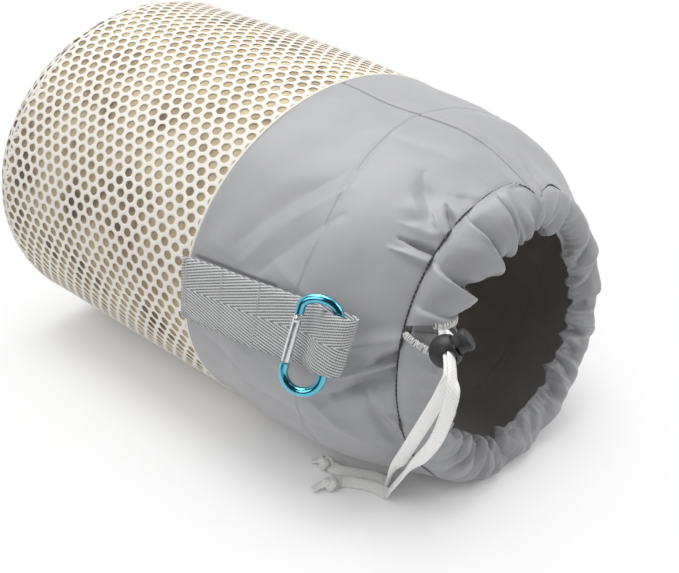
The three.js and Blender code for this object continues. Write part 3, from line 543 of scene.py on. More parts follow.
WELT_RADIUS = 0.8
for name, x, lift in (
    ("collar_seam_welt", COLLAR_SEAM_X - 1.0, 0.5), ("base_seam_welt", NET_START_X, 0.7),
):
    turns = np.linspace(0, 2 * np.pi, 8, endpoint=False)
    welt = ring_bar(name, [
        bag_wall(x + 1.2 * WELT_RADIUS * math.cos(a), seam_turn, lift - WELT_RADIUS * math.sin(a))
        for a in turns])
    dress(welt, finish=net_white)

# Collar: two panels of grey satin-weave polyester, joined by a seam along the top and one
# underneath, sewn to the net at one end and drawn in by the hem at the other. The cloth
# falls in soft folds from the gathers and from the sewn strap.
MOUTH_MIDDLE_Z = MOUTH_RADIUS - UNDERSIDE_PRESS
CLOTH_THICK = 0.6
TOP_SEAM_TURN = -10
SEAM_LIFT = 1.6
SEAM_DRAW = 2.2
CLOTH_ON_FLOOR = 0.8
FOLD_MM_PER_DEGREE = 1.75
SEAM_MM_PER_DEGREE = 1.9
STRAP_SEWN = 62
STRAP_ANGLES = (81.5, 76)
STRAP_MIDDLE = 78.5
STRAP_UPPER_EDGE = 72
HEM_EDGE = 5
HEM_STEPS = 20

# Hem section on the strap side and on the far side: out from the stitches and past them, in mm,
# from the stitches over the mouth's edge (corner HEM_EDGE) and back inside.
NEAR_HEM = [(0, 0), (-2.5, 6), (-8, 12), (-15, 15.5), (-21.5, 15), (-25.5, 11.5), (-26, 6.5),
            (-22, 2.8), (-14, 1.2), (-4, 0)]
FAR_HEM = [(-3.6, 0), (-5.6, 3.5), (-9.4, 6.5), (-15, 8), (-20.6, 6.5), (-25.4, 3), (-27.8, -1.5),
           (-25.4, -4.5), (-18.6, -3.5), (-6.4, -0.8)]
near_line = drawn_curve(NEAR_HEM, HEM_STEPS)
far_line = drawn_curve(FAR_HEM, HEM_STEPS)


def smooth_step(low, high, value):
    """0 below low, 1 above high, and an even change between."""
    share = np.clip((value - low) / (high - low), 0, 1)
    return share * share * (3 - 2 * share)


def off_angle(angle, from_angle):
    """Signed turn in degrees between two angles."""
    return (angle - from_angle + 180) % 360 - 180


def far_share(angle):
    """1 on the far side, where the hem tucks in more, and 0 on the strap side; angle in degrees."""
    return smooth_step(0.25, 0.8, 0.5 - 0.5 * np.sin(np.radians(angle + 20)))


def mouth_ring(angle, radius, depth, floor=0.0):
    """Point of the leaning mouth at an angle in radians, a radius and a depth past the stitches."""
    z = np.maximum(MOUTH_MIDDLE_Z + radius * np.cos(angle), floor)
    x = HEM_STITCH_X + depth - MOUTH_LEAN * (z - MOUTH_MIDDLE_Z)
    return np.stack(np.broadcast_arrays(x, -radius * np.sin(angle), z), -1)


def hem_base(along, angle):
    """Smooth hem without its gathers; along counts the corners of its section."""
    far = far_share(angle)
    corners = np.arange(len(near_line)) / HEM_STEPS
    out, past = (np.interp(along, corners, near_line[:, k]) * (1 - far)
                 + np.interp(along, corners, far_line[:, k]) * far for k in (0, 1))
    return mouth_ring(np.radians(angle), MOUTH_RADIUS + out, past, 0.5)


# Broad laps of the hem by the slit: where each begins, in degrees from the top, at the stitches
# and at the mouth's edge, its rise, and the depth of the valley after it, in mm.
lap_edges = ((0, 7), (5.5, 14), (21, 26.5), (42, 43.5), (58, 54), (66, 60))
lap_rises = (3.4, 8.0, 9.5, 5.6, 3.0)
lap_valleys = (5.5, 5.5, 5.5, 2.0, 1.0)
LAP_SAG = 2.5
LAP_LEAN = 0.36

# Tight gathers: how many there are round the mouth, their slant, their phase and their rise.
pucker_sets = ((41, 10.0, 0.4, 1.8), (25, -17.0, 2.1, 5.4), (14, 21.0, 4.4, 4.4))
PUCKER_CREST = 0.36
pinched_at = (-97, -121, -143)
PINCH_DEPTH = 3.5

# How much of the laps and of the gathers shows at these corners of the hem's section.
weight_corners = [0, 0.8, 2, 3.5, 5, 6.2, 9]
lap_weights = [0.05, 0.35, 0.95, 1.1, 1.0, 0.7, 0.1]
pucker_weights = [0.04, 0.14, 0.45, 0.9, 1.15, 1.0, 0.1]
UNDER_LAPS = 0.72


def lap_cover(angle, along):
    """1 where the broad laps are, by angle in degrees and share of the way to the mouth's edge."""
    first, last = (edge[0] + (edge[1] - edge[0]) * along for edge in (lap_edges[0], lap_edges[-1]))
    begun = smooth_step(-1, 1.5, off_angle(angle, first))
    return begun * (1 - smooth_step(-1, 6, off_angle(angle, last)))


def laps(angle, along):
    """Rise of the broad laps and their lean round the mouth, both in mm."""
    rise, lean = np.zeros(angle.shape), np.zeros(angle.shape)
    for begin, end, high, valley in zip(lap_edges, lap_edges[1:], lap_rises, lap_valleys):
        sag = LAP_SAG * np.sin(np.pi * along)
        low = begin[0] + (begin[1] - begin[0]) * along + sag
        width = end[0] + (end[1] - end[0]) * along + sag - low
        share = off_angle(angle, low) / width
        inside = (share > 0) & (share < 1)
        share = np.clip(share, 0, 1)
        arch = smooth_step(0, 2.0 / width, share) * (1 - share) ** 1.5
        rise += np.where(inside, high * arch - valley * share ** 2, 0)
        lean -= np.where(inside, LAP_LEAN * high * arch * (1 - share) ** 2, 0)
    return rise, lean


def puckers(angle, along):
    """Rise of the tight gathers round the rest of the mouth: crossing sets of ridges, in mm."""
    total = np.zeros(angle.shape)
    for count, slant, phase, high in pucker_sets:
        sway = 2.4 * np.sin(np.radians(4 * angle) + phase)
        sway = sway + 1.5 * np.sin(np.radians(11 * angle) + 3 * phase)
        sway = sway + slant * along * np.sin(np.radians(3 * angle) + phase)
        share = (angle + sway) * count / 360 % 1
        ridge = np.minimum(share / PUCKER_CREST, (1 - share) / (1 - PUCKER_CREST))
        total += high * (ridge ** 0.9 - 0.5)
    for pinched in pinched_at:
        total -= PINCH_DEPTH * np.exp(-((off_angle(angle, pinched) / 3.0) ** 2))
    return total


def gathers(corner, angle):
    """Rise and lean of the hem's gathers at a corner of its section: laps and puckers together."""
    corner, angle = np.broadcast_arrays(np.asarray(corner, float), angle)
    along = np.clip(corner / HEM_EDGE, 0, 1)
    broad = np.interp(corner, weight_corners, lap_weights)
    late = np.interp(corner, weight_corners, pucker_weights)
    cover = lap_cover(angle, along)
    rise, lean = laps(angle, along)
    tight = puckers(angle, along) * late * (1 - UNDER_LAPS * cover)
    return rise * broad * cover + tight, lean * broad * cover


# Soft folds of the collar: (distance from the net seam, angle) where each starts and ends, its
# half width and its rise, in mm.
soft_folds = (
    ((103, 39.5), (120, 39.5), 1.7, -4.6), ((102, 43.5), (119, 43.5), 2.6, 2.4),
    ((100, 35), (113, 34.5), 3.4, 1.2), ((119.5, 28.5), (110, 22.5), 1.8, -3.8),
    ((117, 32.5), (107, 26.5), 2.6, 1.7), ((90, 16.5), (109, 29), 6.0, -2.2),
    ((94, 24), (106, 33), 6.0, 1.2), ((108, 18), (119, 15), 4.0, -1.2),
    ((120, 76), (108, 82), 2.8, -4.8), ((118, 71), (94, 78), 4.6, 2.6),
    ((117, 79.5), (98, 87), 2.8, 2.4), ((119, 83), (96, 94), 4.6, -5.2),
    ((96, 94), (80, 99), 6.0, -2.2), ((88, 101), (103, 116), 6.0, 2.4),
    ((108, 92), (114, 112), 3.6, -3.0), ((110, 99), (119, 103), 3.2, 1.8),
    ((28, 73), (69, 32), 8.0, 1.9), ((27, 62), (62, 27), 7.0, -1.9),
    ((45, 68), (75, 40), 5.5, -1.6), ((49, -3), (101, -13), 8.0, 1.4),
    ((57, 12), (103, 4), 9.0, -1.5), ((23, 20), (71, 6), 10.0, 1.0),
    ((43, 105), (95, 112), 9.0, -1.4), ((19, 118), (73, 128), 10.0, 1.1),
    ((101, 340), (119, 343), 5.0, -1.8), ((95, 300), (117, 296), 7.0, -2.0),
    ((53, 290), (111, 278), 9.0, 1.3), ((43, 250), (103, 258), 9.0, -1.5),
    ((73, 230), (115, 226), 7.0, 1.4), ((33, 320), (93, 330), 10.0, 1.0),
    ((23, 205), (93, 212), 11.0, -1.2), ((13, 270), (53, 300), 10.0, -0.9),
    ((83, 210), (117, 200), 6.0, 1.2), ((14, 96), (40, 100), 6.0, -1.0),
    ((52, 60), (84, 66), 6.0, 0.9),
)
# The pressed crease that runs round the collar, by angle and distance from the net seam.
crease_line = np.array([
    (-180, 70), (-90, 59), (0, 53), (35.5, 66.2), (49.5, 71.2), (65.5, 72.2), (88, 73.7), (98, 76.7),
    (114.5, 72.7), (180, 70)])


def cloth_rise(from_seam, angle):
    """Rise of the collar's folds in mm at a distance from the net seam and an angle in degrees."""
    total = np.zeros(np.broadcast(from_seam, angle).shape)
    for (start, start_angle), (end, end_angle), width, rise in soft_folds:
        side = off_angle(angle, (start_angle + end_angle) / 2) + (end_angle - start_angle) / 2
        place = np.stack(np.broadcast_arrays(from_seam - start, side * FOLD_MM_PER_DEGREE), -1)
        run = np.array([end - start, (end_angle - start_angle) * FOLD_MM_PER_DEGREE])
        share = np.clip((place @ run) / (run @ run), 0, 1)
        away = np.linalg.norm(place - share[..., None] * run, axis=-1)
        for place_of_end, run_in in ((start, share), (end, 1 - share)):
            if place_of_end < COLLAR_LENGTH - 7:
                away = away + width * (1 - smooth_step(0, 0.6, run_in))
        total += rise * np.exp(-((away / width) ** 2))
    wave = np.random.default_rng(5)
    for _ in range(14):
        long_wave, round_waves = wave.uniform(0.04, 0.16), wave.integers(2, 11)
        turned = np.radians(round_waves * angle) + wave.uniform(0, 6.3)
        total += 0.13 * np.sin(long_wave * from_seam + turned)
    off_crease = from_seam - np.interp(off_angle(angle, 0), crease_line[:, 0], crease_line[:, 1])
    total += 0.4 * np.exp(-((off_crease / 0.7) ** 2))
    return total - 0.4 * np.exp(-(((off_crease - 1.5) / 0.8) ** 2))


def seam_turn_at(x):
    """How far the gathered mouth has turned the top seam round the bag, in degrees."""
    return TOP_SEAM_TURN * smooth_step(HEM_STITCH_X - 96, HEM_STITCH_X, x)


def stitch_pull(angle):
    """How far the stitches are drawn towards the mouth's edge by the top seam, in hem corners."""
    off = off_angle(angle, TOP_SEAM_TURN)
    return SEAM_DRAW * np.where(off > 0, np.exp(-((off / 3.4) ** 2)), np.exp(-(np.abs(off / 15) ** 1.4)))


def surface_normals(points):
    """Outward normals of a grid whose columns run round the bag."""
    normal = np.cross(np.gradient(points, axis=1), np.gradient(points, axis=0))
    return normal / np.maximum(np.linalg.norm(normal, axis=2, keepdims=True), 1e-9)


def stay_above_floor(points, least):
    """The cloth spreads on the floor instead of going through it."""
    points[..., 2] = np.maximum(points[..., 2], least)
    return points


def collar_points(x, angle):
    """Folded collar surface; x in mm, angle in degrees."""
    base = bag_wall(x, np.radians(angle))
    to_hem = HEM_STITCH_X - x
    gather = gathers(0.0, angle)[0] * np.exp(-to_hem / 8)
    gather = gather - 0.9 * np.exp(-to_hem / 12) - 0.5 * np.exp(-((to_hem / 1.6) ** 2))
    tuck = -3.6 * far_share(angle) * smooth_step(HEM_STITCH_X - 70, HEM_STITCH_X, x)
    seam = off_angle(angle, seam_turn_at(x))
    stitched = sum(np.exp(-((off * SEAM_MM_PER_DEGREE / 1.3) ** 2))
                   for off in (seam, off_angle(seam, 180)))
    ease = smooth_step(COLLAR_SEAM_X, COLLAR_SEAM_X + 10, x)
    by_strap = smooth_step(10.5, 14, np.abs(off_angle(angle, STRAP_MIDDLE)))
    by_strap = np.maximum(by_strap, smooth_step(COLLAR_SEAM_X + 63, COLLAR_SEAM_X + 78, x))
    total = (cloth_rise(x - COLLAR_SEAM_X, angle) * ease + gather + tuck - 0.7 * stitched) * by_strap
    on_strap = np.clip((x - COLLAR_SEAM_X) / STRAP_SEWN, 0, 1)
    strap_turn = (STRAP_ANGLES[1] - STRAP_ANGLES[0]) * on_strap
    off_edge = off_angle(angle, STRAP_UPPER_EDGE + strap_turn)
    beside = smooth_step(2, 8, x - COLLAR_SEAM_X) * (on_strap < 1)
    total -= 2.2 * np.exp(-((off_edge / 0.42) ** 2)) * beside
    drawn = hem_base(stitch_pull(angle), angle) - hem_base(0.0, angle)
    drawn[..., 2] += SEAM_LIFT * stitch_pull(angle)
    drawn = drawn * (smooth_step(HEM_STITCH_X - 30, HEM_STITCH_X, x) ** 2)[..., None]
    return stay_above_floor(base + surface_normals(base) * total[..., None] + drawn, CLOTH_ON_FLOOR)


def cloth_piece(name, points, flat, node):
    """Thick cloth panel from a grid of outer points, with its flat cut as UV map."""
    piece = add_mesh(name, points, grid_faces(*points.shape[:2]))
    lay_flat(piece, flat)
    thick = piece.modifiers.new("cloth_thickness", "SOLIDIFY")
    thick.thickness = CLOTH_THICK * MM
    thick.offset = -1
    dress(piece, node, collar_grey)
    return piece


collar_grey, tree, shader = new_finish(
    "collar_cloth", Roughness=0.42, Sheen_Weight=0.12, Sheen_Roughness=0.4, Specular_IOR_Level=0.45)
cut = first_of(tree, "ShaderNodeUVMap", uv_map=FLAT_CUT)
weft = put(tree, "ShaderNodeTexWave", {"Vector": cut, "Scale": 420.0, "Distortion": 0.4},
           bands_direction="X").outputs["Fac"]
warp = put(tree, "ShaderNodeTexWave", {"Vector": cut, "Scale": 300.0, "Distortion": 0.4},
           bands_direction="Y").outputs["Fac"]
slub = put(tree, "ShaderNodeTexNoise", {"Vector": cut, "Scale": 60.0, "Detail": 4.0}).outputs["Fac"]
tint = shades(tree, slub, (0.3, (0.350, 0.352, 0.364)), (0.7, (0.385, 0.387, 0.400)))
weave = reckon(tree, "ADD", reckon(tree, "MULTIPLY", weft, warp), reckon(tree, "MULTIPLY", slub, 0.6))
tint_and_emboss(tree, shader, tint, weave, 0.12, 0.0003)
gloss = shades(tree, slub, (0.2, (0.36,) * 3), (0.8, (0.46,) * 3))
tree.links.new(gloss, shader.inputs["Roughness"])

collar_x = np.concatenate([
    np.linspace(COLLAR_SEAM_X, COLLAR_SEAM_X + 50, 30),
    np.linspace(COLLAR_SEAM_X + 50, HEM_STITCH_X, 92)[1:]])
COLLAR_FLAT_HALF = 327
for side, node, low, high in (("strap", "collar_front", 0, 180), ("far", "collar_back", 180, 360)):
    across = np.interp(np.linspace(0, 1, 331), [0, 0.8, 1], [low, low + 115, high])
    angle = across + seam_turn_at(collar_x)[:, None]
    points = collar_points(collar_x[:, None], angle)
    flat = np.stack(np.broadcast_arrays(
        across / 180 * COLLAR_FLAT_HALF, run_lengths(points, 0).mean(1)[:, None]), -1)
    panel = cloth_piece(f"collar_{side}_panel", points, flat, node)

# Drawstring hem: the collar's end folded in and sewn down as a tunnel for the cord, and drawn
# up into folds that are flat and wide by the slit and tight round the top and the far side.
SLIT_ANGLE = 67
SLIT_HALF_WIDTH = 8
CORD_RADIUS = 68
SLIT_HALF = math.degrees(SLIT_HALF_WIDTH / CORD_RADIUS)
DEEPEST_FOLD = -7.0
FLAT_PER_CORNER = 6.5


def slit_open(along, side):
    """Half opening of the slit in degrees, growing from the stitches to the mouth's edge."""
    return 1.2 + (8.0 if side > 0 else 9.0) * np.clip(along / HEM_EDGE, 0, 1.1)


def hem_points(along, angle):
    """Gathered hem; along counts the corners of its section, angle in degrees."""
    along, angle = np.broadcast_arrays(along, angle)
    pull = stitch_pull(angle)
    outer = np.minimum(along, HEM_EDGE)
    base = hem_base(along + pull * (1 - outer / HEM_EDGE), angle)
    base[..., 2] += SEAM_LIFT * pull * np.exp(-((along / 0.9) ** 2))
    normal = surface_normals(base)
    rise, lean = gathers(along, angle)
    fine = 0.8 * np.sin(np.radians(88 * angle) + 2.2 * np.sin(np.radians(7 * angle)))
    fine = fine * (0.6 + 0.4 * np.sin(np.radians(5 * angle + 40)))
    fine = fine * np.exp(-(((along - 4.9) / 1.1) ** 2))
    pinch = -1.2 * np.exp(-((along / 0.4) ** 2))
    inward = -2.0 * smooth_step(0.5, 4, along)
    by_seam = np.exp(-((off_angle(angle, TOP_SEAM_TURN + 6.5) / 4.0) ** 2))
    inward = inward - 2.2 * by_seam * smooth_step(0, 0.5, along) * (1 - smooth_step(2.0, 4.5, along))
    lower_lip = off_angle(angle, SLIT_ANGLE + slit_open(along, 1))
    upper_lip = off_angle(SLIT_ANGLE - slit_open(along, -1), angle)
    cut_out = smooth_step(0.3, 2, along) * (along < 5.6)
    curl = 1.6 * np.exp(-((lower_lip / 3.0) ** 2)) - 2.4 * np.exp(-((upper_lip / 2.0) ** 2))
    total = np.maximum(rise + fine + pinch + inward + curl * cut_out, DEEPEST_FOLD)
    turn = np.radians(angle)
    sideways = np.stack([0 * turn, -np.cos(turn), -np.sin(turn)], -1)
    lean = (lean * smooth_step(0.3, 2, along))[..., None] * sideways
    return stay_above_floor(base + normal * total[..., None] + lean, CLOTH_ON_FLOOR)


outer_along = np.linspace(0, 5.4, 40)[:, None]
outer_share = np.linspace(0, 1, 720)
slit_low = SLIT_ANGLE + slit_open(outer_along, 1)
outer_angle = slit_low + outer_share * (360 - slit_open(outer_along, 1) - slit_open(outer_along, -1))
outer_hem = hem_points(outer_along, outer_angle)
inner_along = np.linspace(5.2, 9, 18)[:, None]
inner_angle = np.linspace(SLIT_ANGLE, SLIT_ANGLE + 360, 361)[None, :]
inner_hem = hem_points(inner_along, inner_angle)
hem_flat = [
    np.stack(np.broadcast_arrays(
        angle / 180 * COLLAR_FLAT_HALF, along * FLAT_PER_CORNER + COLLAR_LENGTH), -1)
    for angle, along in ((outer_angle, outer_along), (inner_angle, inner_along))]
hem = cloth_piece("drawstring_hem", outer_hem, hem_flat[0], "drawstring_casing")
cloth_piece("drawstring_hem_lining", inner_hem, hem_flat[1], "drawstring_casing")

# Hem stitching: one row of dark grey lockstitch round the mouth, 2.4 mm to a stitch. It holds
# the hem's tunnel shut and is sunk into the cloth.


def spaced_points(tree, given):
    """Points along a tree's given path at its given spacing."""
    line = put(tree, "GeometryNodeObjectInfo", {"Object": given["Path"]}).outputs["Geometry"]
    line = first_of(tree, "GeometryNodeMeshToCurve", {"Mesh": line})
    wires = {"Curve": line, "Length": given["Spacing"]}
    return first_of(tree, "GeometryNodeResampleCurve", wires, mode="LENGTH")


stitch_tree, given = start_tree("lockstitch_row", {
    "Path": "Object", "Spacing": "Float", "Length": "Float", "Radius": "Float", "Material": "Material"})
dash = first_of(stitch_tree, "GeometryNodeMeshUVSphere", {
    "Segments": 6, "Rings": 5, "Radius": 1.0})
dash = first_of(stitch_tree, "GeometryNodeTransform", {"Geometry": dash, "Scale": first_of(
    stitch_tree, "ShaderNodeCombineXYZ", {
        "X": reckon(stitch_tree, "MULTIPLY", given["Length"], 0.5), "Y": given["Radius"],
        "Z": given["Radius"]})})
way = stitch_tree.nodes.new("GeometryNodeInputTangent").outputs[0]
turned = first_of(stitch_tree, "FunctionNodeAlignRotationToVector", {"Vector": way}, axis="X")
stitches = first_of(stitch_tree, "GeometryNodeInstanceOnPoints", {
    "Points": spaced_points(stitch_tree, given), "Instance": dash, "Rotation": turned})
end_tree(stitch_tree, stitches, given["Material"])


def thread_path(name, points):
    """Bare line through points in mm, for a row of stitches to follow."""
    return add_mesh(name + "_path", points, [], [(k, k + 1) for k in range(len(points) - 1)])


def stitch_row(name, points, spacing, length, radius, finish):
    """Row of stitches along points in mm."""
    path = thread_path(name, points)
    row = grow(stitch_tree, name, {
        "Path": path, "Spacing": spacing * MM, "Length": length * MM, "Radius": radius * MM,
        "Material": finish})
    bpy.data.objects.remove(path)
    dress(row)


dark_thread = mottled(
    "dark_thread", 2500.0, 2.0,
    ((0.3, (0.02, 0.02, 0.022)), (0.7, (0.06, 0.06, 0.065))), Roughness=0.6)
hem_x = np.array([[HEM_STITCH_X - 2.0], [HEM_STITCH_X - 1.0], [HEM_STITCH_X - 0.2]])
hem_edge = collar_points(hem_x, np.linspace(0, 360, 721))
hem_line = (hem_edge + 0.35 * surface_normals(hem_edge))[-1]
stitch_row("hem_stitches", hem_line, spacing=2.4, length=2.5, radius=0.36, finish=dark_thread)

# Slit edges: where the cord comes out the hem is cut open, and both raw edges are bound with
# white overlock thread, looped round the edge and a little frayed.
overlock_tree, given = start_tree("overlocked_edge", {
    "Path": "Object", "Spacing": "Float", "Loop": "Float", "Thread": "Float", "Seed": "Int",
    "Material": "Material"})
put_lock = partial(first_of, overlock_tree)
loop, strand = (
    put_lock("GeometryNodeCurvePrimitiveCircle", {"Resolution": steps, "Radius": given[size]})
    for steps, size in ((10, "Loop"), (5, "Thread")))
loop = put_lock("GeometryNodeCurveToMesh", {"Curve": loop, "Profile Curve": strand})
way = overlock_tree.nodes.new("GeometryNodeInputTangent").outputs[0]
sway, size = (
    put(overlock_tree, "FunctionNodeRandomValue", {
        "Min": (low,) * 3, "Max": (high,) * 3, "Seed": given["Seed"]}, data_type="FLOAT_VECTOR")
    for low, high in ((-0.35, 0.35), (0.8, 1.2)))
leaning = put_lock("ShaderNodeVectorMath", {0: way, 1: sway.outputs[0]})
turned = put_lock("FunctionNodeAlignRotationToVector", {"Vector": leaning}, axis="Z")
loops = put_lock("GeometryNodeInstanceOnPoints", {
    "Points": spaced_points(overlock_tree, given), "Instance": loop, "Rotation": turned,
    "Scale": size.outputs[0]})
end_tree(overlock_tree, loops, given["Material"])

white_thread = mottled(
    "white_thread", 1800.0, 2.0,
    ((0.3, (0.62, 0.62, 0.60)), (0.7, (0.86, 0.86, 0.84))), Roughness=0.7, Sheen_Weight=0.3)

for name, node, edge_points, seed in (
    ("slit_lower_loops", "slit_overlock_lower", outer_hem[1:34, 0], 3),
    ("slit_upper_loops", "slit_overlock_upper", outer_hem[14:, -1], 8),
):
    path = thread_path(name, edge_points)
    loops = grow(overlock_tree, name, {
        "Path": path, "Spacing": 0.0006, "Loop": 0.0016, "Thread": 0.00028, "Seed": seed,
        "Material": white_thread})
    bpy.data.objects.remove(path)
    dress(loops, node)

# Drawstring: one soft flat braid of white cotton, 6.5 mm wide. It runs round inside the hem,
# both ends come out of the slit, go through the cord lock and hang down to the floor.
CORD_WIDTH = 6.5
CORD_THICK = 1.9
CORD_DEPTH = 9
TUNNEL_FROM = 1.7
KNOT_WIDTH, KNOT_THICK = 4.2, 3.2
STUB_WIDTH, STUB_THICK = 4.8, 2.0
lock_middle = np.array([COLLAR_SEAM_X + 146.5, -80.0, 114.0])
lock_up = np.array([0.60089, 0.5459, 0.58389])
lock_way = np.array([0.68647, -0.72665, -0.02709])
lock_side = np.cross(lock_up, lock_way)
PAIR_LEVEL = 1.45
PAIR_SPREAD = 1.05

cord_white, tree, shader = new_finish(
    "cotton_braid", Roughness=0.85, Sheen_Weight=0.4, Specular_IOR_Level=0.2)
braid_uv = first_of(tree, "ShaderNodeUVMap", uv_map=FLAT_CUT)
across, along = put(tree, "ShaderNodeSeparateXYZ", {0: braid_uv}).outputs[:2]
slanted = [reckon(tree, "SINE", reckon(tree, "MULTIPLY", reckon(tree, kind, along, across), 3300.0))
           for kind in ("ADD", "SUBTRACT")]
plait = reckon(tree, "MAXIMUM", *slanted)
lint = put(tree, "ShaderNodeTexNoise", {
    "Vector": braid_uv, "Scale": 700.0, "Detail": 3.0}).outputs["Fac"]
height = reckon(tree, "ADD", reckon(tree, "MULTIPLY", plait, 0.5), lint)
# Painted shade: the braid's colour follows the same height as its bump, so it is darker in the low
# places between the plaits.
tint = shades(tree, height, (0.15, (0.84, 0.835, 0.815)), (0.75, (0.95, 0.945, 0.93)))
tint_and_emboss(tree, shader, tint, height, 0.3, 0.0004)


def swept(name, line, hints, width, thick, sides=14, closed=False, softness=2.4):
    """Flat-oval tube along a line in mm, its wide way turned to the hints, with UV in metres."""
    line, hints = np.asarray(line, float), np.asarray(hints, float)
    way = np.gradient(line, axis=0)
    if closed:
        way = np.roll(line, -1, 0) - np.roll(line, 1, 0)
    way /= np.linalg.norm(way, axis=1, keepdims=True)
    wide = hints - (hints * way).sum(1, keepdims=True) * way
    wide /= np.linalg.norm(wide, axis=1, keepdims=True)
    deep = np.cross(way, wide)
    turn = np.linspace(0, 2 * np.pi, sides, endpoint=False)
    corner = np.stack([np.sign(np.cos(turn)) * np.abs(np.cos(turn)) ** (2 / softness) * width / 2,
                       np.sign(np.sin(turn)) * np.abs(np.sin(turn)) ** (2 / softness) * thick / 2], -1)
    points = line[:, None] + corner[:, :1] * wide[:, None] + corner[:, 1:] * deep[:, None]
    faces = [list(f) for f in grid_faces(len(line), sides, closed=True)]
    if closed:
        last = (len(line) - 1) * sides
        faces += [[last + k, last + (k + 1) % sides, (k + 1) % sides, k] for k in range(sides)]
    else:
        faces += [list(range(sides))[::-1], [(len(line) - 1) * sides + k for k in range(sides)]]
    piece = add_mesh(name, points, faces)
    run = np.concatenate([[0], np.cumsum(np.linalg.norm(np.diff(line, axis=0), axis=1))])
    skirt = np.cumsum(np.linalg.norm(corner - np.roll(corner, 1, 0), axis=1))
    lay_flat(piece, np.stack(np.broadcast_arrays(skirt, run[:, None]), -1))
    turn_faces_out(piece)
    return piece


hidden_from = TUNNEL_FROM * SLIT_HALF
hidden_angle = np.linspace(SLIT_ANGLE + hidden_from, SLIT_ANGLE + 360 - hidden_from, 200)
far = far_share(hidden_angle)
under_laps = np.exp(-((off_angle(hidden_angle, 14) / 24) ** 2))
hidden_turn = np.radians(hidden_angle)
hidden_depth = 6.5 - 7.5 * far - 3 * under_laps
hidden_line = mouth_ring(hidden_turn, CORD_RADIUS - 1.5 * far, hidden_depth, 4.5)
hidden_out = np.stack([0 * far, -np.sin(hidden_turn), np.cos(hidden_turn)], -1)
hidden_cord = swept("drawstring_in_hem", hidden_line, hidden_out, CORD_WIDTH, CORD_THICK)
dress(hidden_cord, "drawstring_loop", cord_white)


def lock_point(level, along):
    """Point in the cord lock, by level up its axis and distance along its cord hole."""
    return lock_middle + lock_up * level + lock_way * along


slit = math.radians(SLIT_ANGLE)
slit_half = math.radians(SLIT_HALF)
slit_out = np.array([0, -math.sin(slit), math.cos(slit)])
# Side of the slit, way round it, stops down to the floor and middle of the knot, from the net seam.
tails = (
    ("upper", -1, [
        (162.5, -94, 113), (165.5, -97, 108), (163, -98, 94), (155, -95, 76), (142, -89.5, 57),
        (126, -83.5, 36), (113, -77, 18), (101, -68.5, 3.4), (92.5, -68.4, 2.5), (83, -72.7, 2.5),
        (78, -76.5, 2.8)], (75.4, -84.4, 4.5)),
    ("lower", 1, [
        (160, -94.2, 111.5), (159, -96.2, 105), (152.5, -96, 91), (140, -92, 69), (125, -85, 45),
        (109, -74.5, 23), (94, -61.5, 3.6), (85, -62, 2.5), (76, -67.5, 2.5),
        (70, -71, 2.8)], (61.3, -73.6, 4.5)),
)
from_net_seam = np.array([COLLAR_SEAM_X, 0, 0])
hanging_face = np.array([-0.8, -0.5, 0.4])
lying_face = np.array([0.2, -0.8, -0.5])
LYING_BELOW = 36
SLIT_STOPS, LOCK_STOPS = 3, 6
for side, step, way_down, knot_middle in tails:
    level = PAIR_LEVEL - step * PAIR_SPREAD
    way_down = from_net_seam + np.array(way_down)
    knot_middle = from_net_seam + np.array(knot_middle)
    pull = way_down[-1] - knot_middle
    pull[2] = 0
    pull /= np.linalg.norm(pull)
    stops = [
        mouth_ring(slit + step * slit_half * TUNNEL_FROM, CORD_RADIUS, CORD_DEPTH),
        mouth_ring(slit + step * slit_half, CORD_RADIUS, CORD_DEPTH),
        mouth_ring(slit + step * slit_half * 0.4, 70, 14),
        lock_point(level - step * 0.6, -11),
        *[lock_point(level, along) for along in (-8, 0, 8, 16)],
        *way_down,
        np.array([*(knot_middle + pull * 2.5)[:2], 3.6]),
    ]
    turns = np.array([slit_out] * SLIT_STOPS + [-lock_side] * LOCK_STOPS + [
        hanging_face if stop[2] > LYING_BELOW else lying_face
        for stop in stops[SLIT_STOPS + LOCK_STOPS:]])
    line = drawn_curve(stops, 8)
    at_stop = np.linspace(0, len(turns) - 1, len(line))
    hints = np.stack([np.interp(at_stop, np.arange(len(turns)), turns[:, k]) for k in range(3)], -1)
    tail = swept("drawstring_tail_" + side + "_braid", line, hints, CORD_WIDTH, CORD_THICK)
    dress(tail, "drawstring_tail_" + side, cord_white)

    # Overhand knot at the end of the braid, with the cut end standing out of it.
    t = np.linspace(0, 2 * np.pi, 96, endpoint=False)
    aside = np.array([-pull[1], pull[0], 0])
    trefoil = (np.outer(np.sin(t) + 2 * np.sin(2 * t), pull) * 1.1
               + np.outer(np.cos(t) - 2 * np.cos(2 * t), aside) * 1.05
               - np.outer(np.sin(3 * t), (0, 0, 1)) * 1.6)
    knot_line = knot_middle + trefoil
    knot_line[:, 2] = np.maximum(knot_line[:, 2], 2.2)
    outward = knot_line - knot_middle + np.array([0, 0, 0.4])
    knot_face = np.cross(outward, np.roll(knot_line, -1, 0) - knot_line)
    knot = swept("drawstring_knot_" + side + "_tied", knot_line, knot_face, KNOT_WIDTH, KNOT_THICK,
                 sides=10, closed=True)
    dress(knot, "drawstring_knot_" + side, cord_white)
    stub_line = drawn_curve([
        knot_middle - pull * back + aside * out + (0, 0, -down)
        for back, out, down in ((1.5, 0, 0), (4, 0.8, 0), (7, 1.8, 1.8), (9, 2.2, 2.9))], 5)
    stub_face = np.tile(aside, (len(stub_line), 1))
    stub = swept("drawstring_end_" + side, stub_line, stub_face, STUB_WIDTH, STUB_THICK)
    dress(stub, finish=cord_white)

